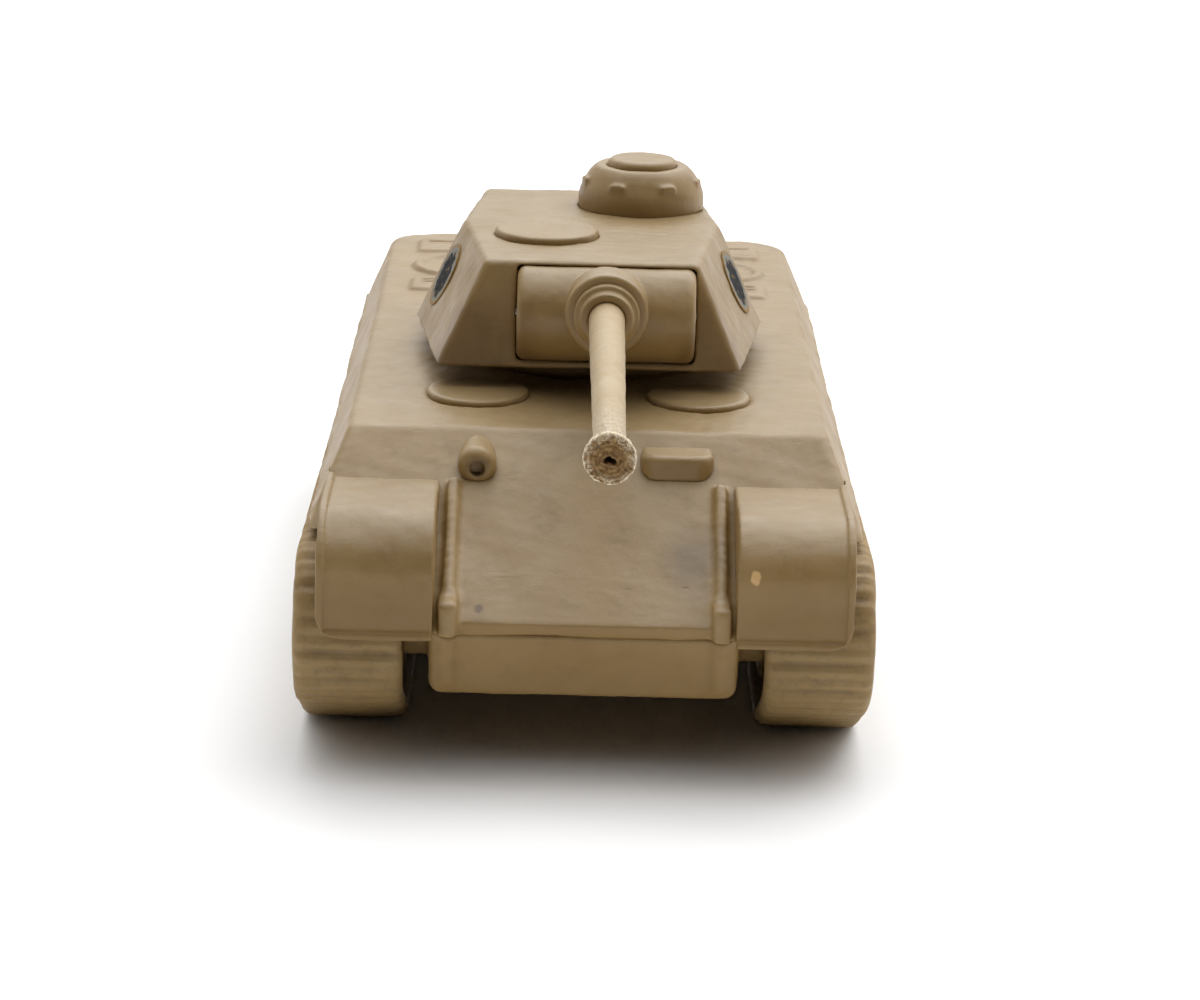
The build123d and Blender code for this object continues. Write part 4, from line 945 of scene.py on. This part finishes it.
def wheel_mesh(node):
    """Pair of dished discs with raised rims and bolts, joined by a hub."""
    reach = half_size(node, 0)
    radius = half_size(node, 1) - 0.01
    bm = bmesh.new()
    shift = joint_at(node + "_spin")
    inner = reach - DISC
    outer_face = [(AXLE_BORE, reach - 0.06), (1.25, reach - 0.06), (1.45, reach - 0.3), (2.2, reach - 0.38),
                  (2.5, reach - 0.5), (3.9, reach - 0.5), (4.3, reach - 0.35), (4.45, reach - 0.02),
                  (radius - 0.55, reach - 0.02), (radius - 0.5, reach - 0.12), (radius - 0.12, reach - 0.12),
                  (radius, reach - 0.3)]
    back_face = [(radius, inner + 0.25), (radius - 0.15, inner + 0.04), (4.4, inner + 0.04),
                 (4.2, inner + 0.3), (1.6, inner + 0.3), (1.33, inner + 0.1)]
    half_profile = rounded(outer_face + back_face, 0.14, 2)
    other = [(r, -along) for r, along in reversed(half_profile)]
    lathe(bm, half_profile + other, 72, ALONG_X, shift)
    for end in (1, -1):
        for step in range(8):
            add_bolt(bm, shift, end, reach - 0.5, 3.25, TURN * (step + 0.5) / 8, 0.3, 0.28)
        for step in range(16):
            add_bolt(bm, shift, end, reach - 0.04, 4.68, TURN * step / 16, 0.13, 0.03)
    return to_mesh(bm, "dished_" + node)


def add_bolt(bm, shift, end, base, circle, angle, radius, height):
    """Low domed bolt head on a wheel's face."""
    seat = shift + Vector((end * base, circle * math.cos(angle), circle * math.sin(angle)))
    profile = [(0, -0.05), (radius, -0.05), (radius, height * 0.6), (radius * 0.7, height), (0, height)]
    lathe(bm, profile, 10, facing(end), seat)


def sprocket_mesh(node, sign):
    """Two toothed rings on a drum, with bolts and a hub cap on the outside."""
    reach = SPROCKET_REACH
    cap_reach = half_size(node, 0) * 2 - reach
    bm = bmesh.new()
    shift = joint_at(node + "_spin")
    for end in (1, -1):
        toothed_ring(bm, shift, end)
        for step in range(8):
            add_bolt(bm, shift, end, reach - 0.18, 3.55, TURN * (step + 0.5) / 8, 0.3, 0.2)
    drum = rounded([(0, -reach + 0.25), (2.85, -reach + 0.25), (3.0, -RING_IN), (2.9, -1.6), (2.9, 1.6),
                    (3.0, RING_IN), (2.85, reach - 0.25), (0, reach - 0.25)], 0.2, 2)
    lathe(bm, drum, 48, ALONG_X, shift)
    cap = rounded([(0, reach - 0.4), (1.9, reach - 0.4), (1.9, cap_reach - 0.25), (1.1, cap_reach - 0.02),
                   (0, cap_reach - 0.02)], 0.2, 3)
    lathe(bm, cap, 40, facing(sign), shift)
    return to_mesh(bm, "toothed_" + node)


def toothed_ring(bm, shift, end):
    """Flat ring with rounded sprocket teeth."""
    samples = 12
    outline = []
    for index in range(TEETH * samples):
        share = (index % samples) / samples
        bulge = 0.5 + 0.5 * math.cos(TURN * share)
        radius = FOOT_R + (TIP_R - FOOT_R) * min(1.0, max(0.0, 1.6 * bulge - 0.35))
        outline.append((radius, TURN * index / (TEETH * samples)))
    # round the section: a plain radius or none where it follows the teeth, how far inside them, and x
    outer_x = SPROCKET_REACH
    levels = ((RING_HOLE, 0, outer_x - 0.32), (3.0, 0, outer_x - 0.22), (4.0, 0, outer_x - 0.18),
              (None, 0.12, outer_x - 0.02), (None, 0, outer_x - 0.12), (None, 0, RING_IN + 0.12),
              (None, 0.12, RING_IN + 0.02), (RING_HOLE, 0, RING_IN + 0.02))
    rings = []
    for radius, inset, x in levels:
        ring = []
        for edge, angle in outline:
            r = radius or edge - inset
            ring.append(bm.verts.new(shift + Vector((end * x, r * math.cos(angle), r * math.sin(angle)))))
        rings.append(ring)
    skin(bm, rings, True)


def idler_mesh(node):
    """Rear idler: two spoked rims on a hub."""
    radius = half_size(node, 1) - 0.01
    reach = half_size(node, 0)
    bm = bmesh.new()
    shift = joint_at(node + "_spin")
    rim = rounded([(radius, 2.15), (radius, 3.25), (radius - 0.7, 3.28), (radius - 0.8, 3.0),
                   (radius - 0.8, 2.4), (radius - 0.7, 2.12), (radius, 2.15)], 0.12, 2)[1:]
    hub = rounded([(AXLE_BORE, -reach + 0.02), (1.5, -reach + 0.02), (1.6, -reach + 0.2),
                   (1.6, reach - 0.2), (1.5, reach - 0.02), (AXLE_BORE, reach - 0.02)], 0.12, 2)
    lathe(bm, hub, 40, ALONG_X, shift)
    for end in (1, -1):
        lathe(bm, rim, 64, facing(end), shift)
        for step in range(SPOKES):
            add_spoke(bm, shift, end, TURN * step / SPOKES, radius - 0.75)
    return to_mesh(bm, "spoked_" + node)


def add_spoke(bm, shift, end, angle, tip):
    """Rounded tapering spoke from the hub to the rim."""
    rings = []
    for share in (0.0, 0.35, 0.7, 1.0):
        away = SPOKE_FOOT + (tip - SPOKE_FOOT) * share
        wide = 0.55 - 0.17 * share
        ring = []
        for step in range(12):
            turn = TURN * step / 12
            across = wide * math.cos(turn)
            along = SPOKE_AT + SPOKE_HALF * math.sin(turn)
            y = away * math.cos(angle) - across * math.sin(angle)
            z = away * math.sin(angle) + across * math.cos(angle)
            ring.append(bm.verts.new(shift + Vector((end * along, y, z))))
        rings.append(ring)
    skin(bm, rings, False)
    bm.faces.new(rings[0])
    bm.faces.new(rings[-1])


def make_wheels():
    """Road wheels, sprocket and idler of each side."""
    paint = sand_paint("sand_wheel", tone=0.92)
    for side, sign in SIDES:
        for index in range(1, 9):
            node = f"{side}_road_wheel_{index}"
            place(wheel_mesh(node), paint, node)
        sprocket, idler = side + "_sprocket", side + "_idler"
        place(sprocket_mesh(sprocket, sign), paint, sprocket)
        place(idler_mesh(idler), paint, idler)


# ------------------------------------------------------------------ CAD pieces that stay

TURRET_LEAN = math.radians(25)


def finish_cad_pieces():
    """Materials of the CAD pieces, those that stay and those that are replaced later."""
    centre = middle("turret_emblems")
    lean = half_size("turret_emblems", 2) * math.tan(TURRET_LEAN)
    emblem_x = box_mm("turret_emblems")[1].x - lean - 0.1
    materials = {
        "steel": metal("turned_steel", (0.55, 0.54, 0.52), (0.36, 0.33, 0.30), 0.32, 0.25, (4, 1, 1)),
        "brass": metal("cut_brass", (0.72, 0.52, 0.22), (0.50, 0.34, 0.14), 0.3, 0.2),
        "motor_can": metal("plated_can", (0.62, 0.62, 0.62), (0.42, 0.41, 0.40), 0.25, 0.4, (1, 6, 1)),
        "battery_foil": metal("pouch_foil", (0.66, 0.67, 0.69), (0.52, 0.53, 0.56), 0.34, 2.0),
        "black_plastic": moulding("black_moulding", (0.016, 0.016, 0.017), (0.028, 0.027, 0.026), 0.5),
        "white_plastic": moulding("gear_plastic", (0.72, 0.71, 0.66), (0.62, 0.60, 0.54), 0.42),
        "circuit_board": circuit_lacquer("solder_mask"),
        "emblem_paint": emblem_paint("worn_marking", (emblem_x, centre.y, centre.z), EMBLEM_R),
        "sand_paint": sand_paint("sand_trim"),
        "track_paint": track_paint("sand_track_trim"),
        "wheel_paint": sand_paint("sand_wheel_trim", tone=0.92),
    }
    for node, piece in NODES.items():
        piece.data.materials.clear()
        piece.data.materials.append(materials[NODE_SLOT[node]])


finish_cad_pieces()
make_shells()
make_gun()
make_tracks()
make_wheels()
make_camera()
make_world()
make_lights()
make_floor()
bpy.context.scene.view_settings.view_transform = "Standard"
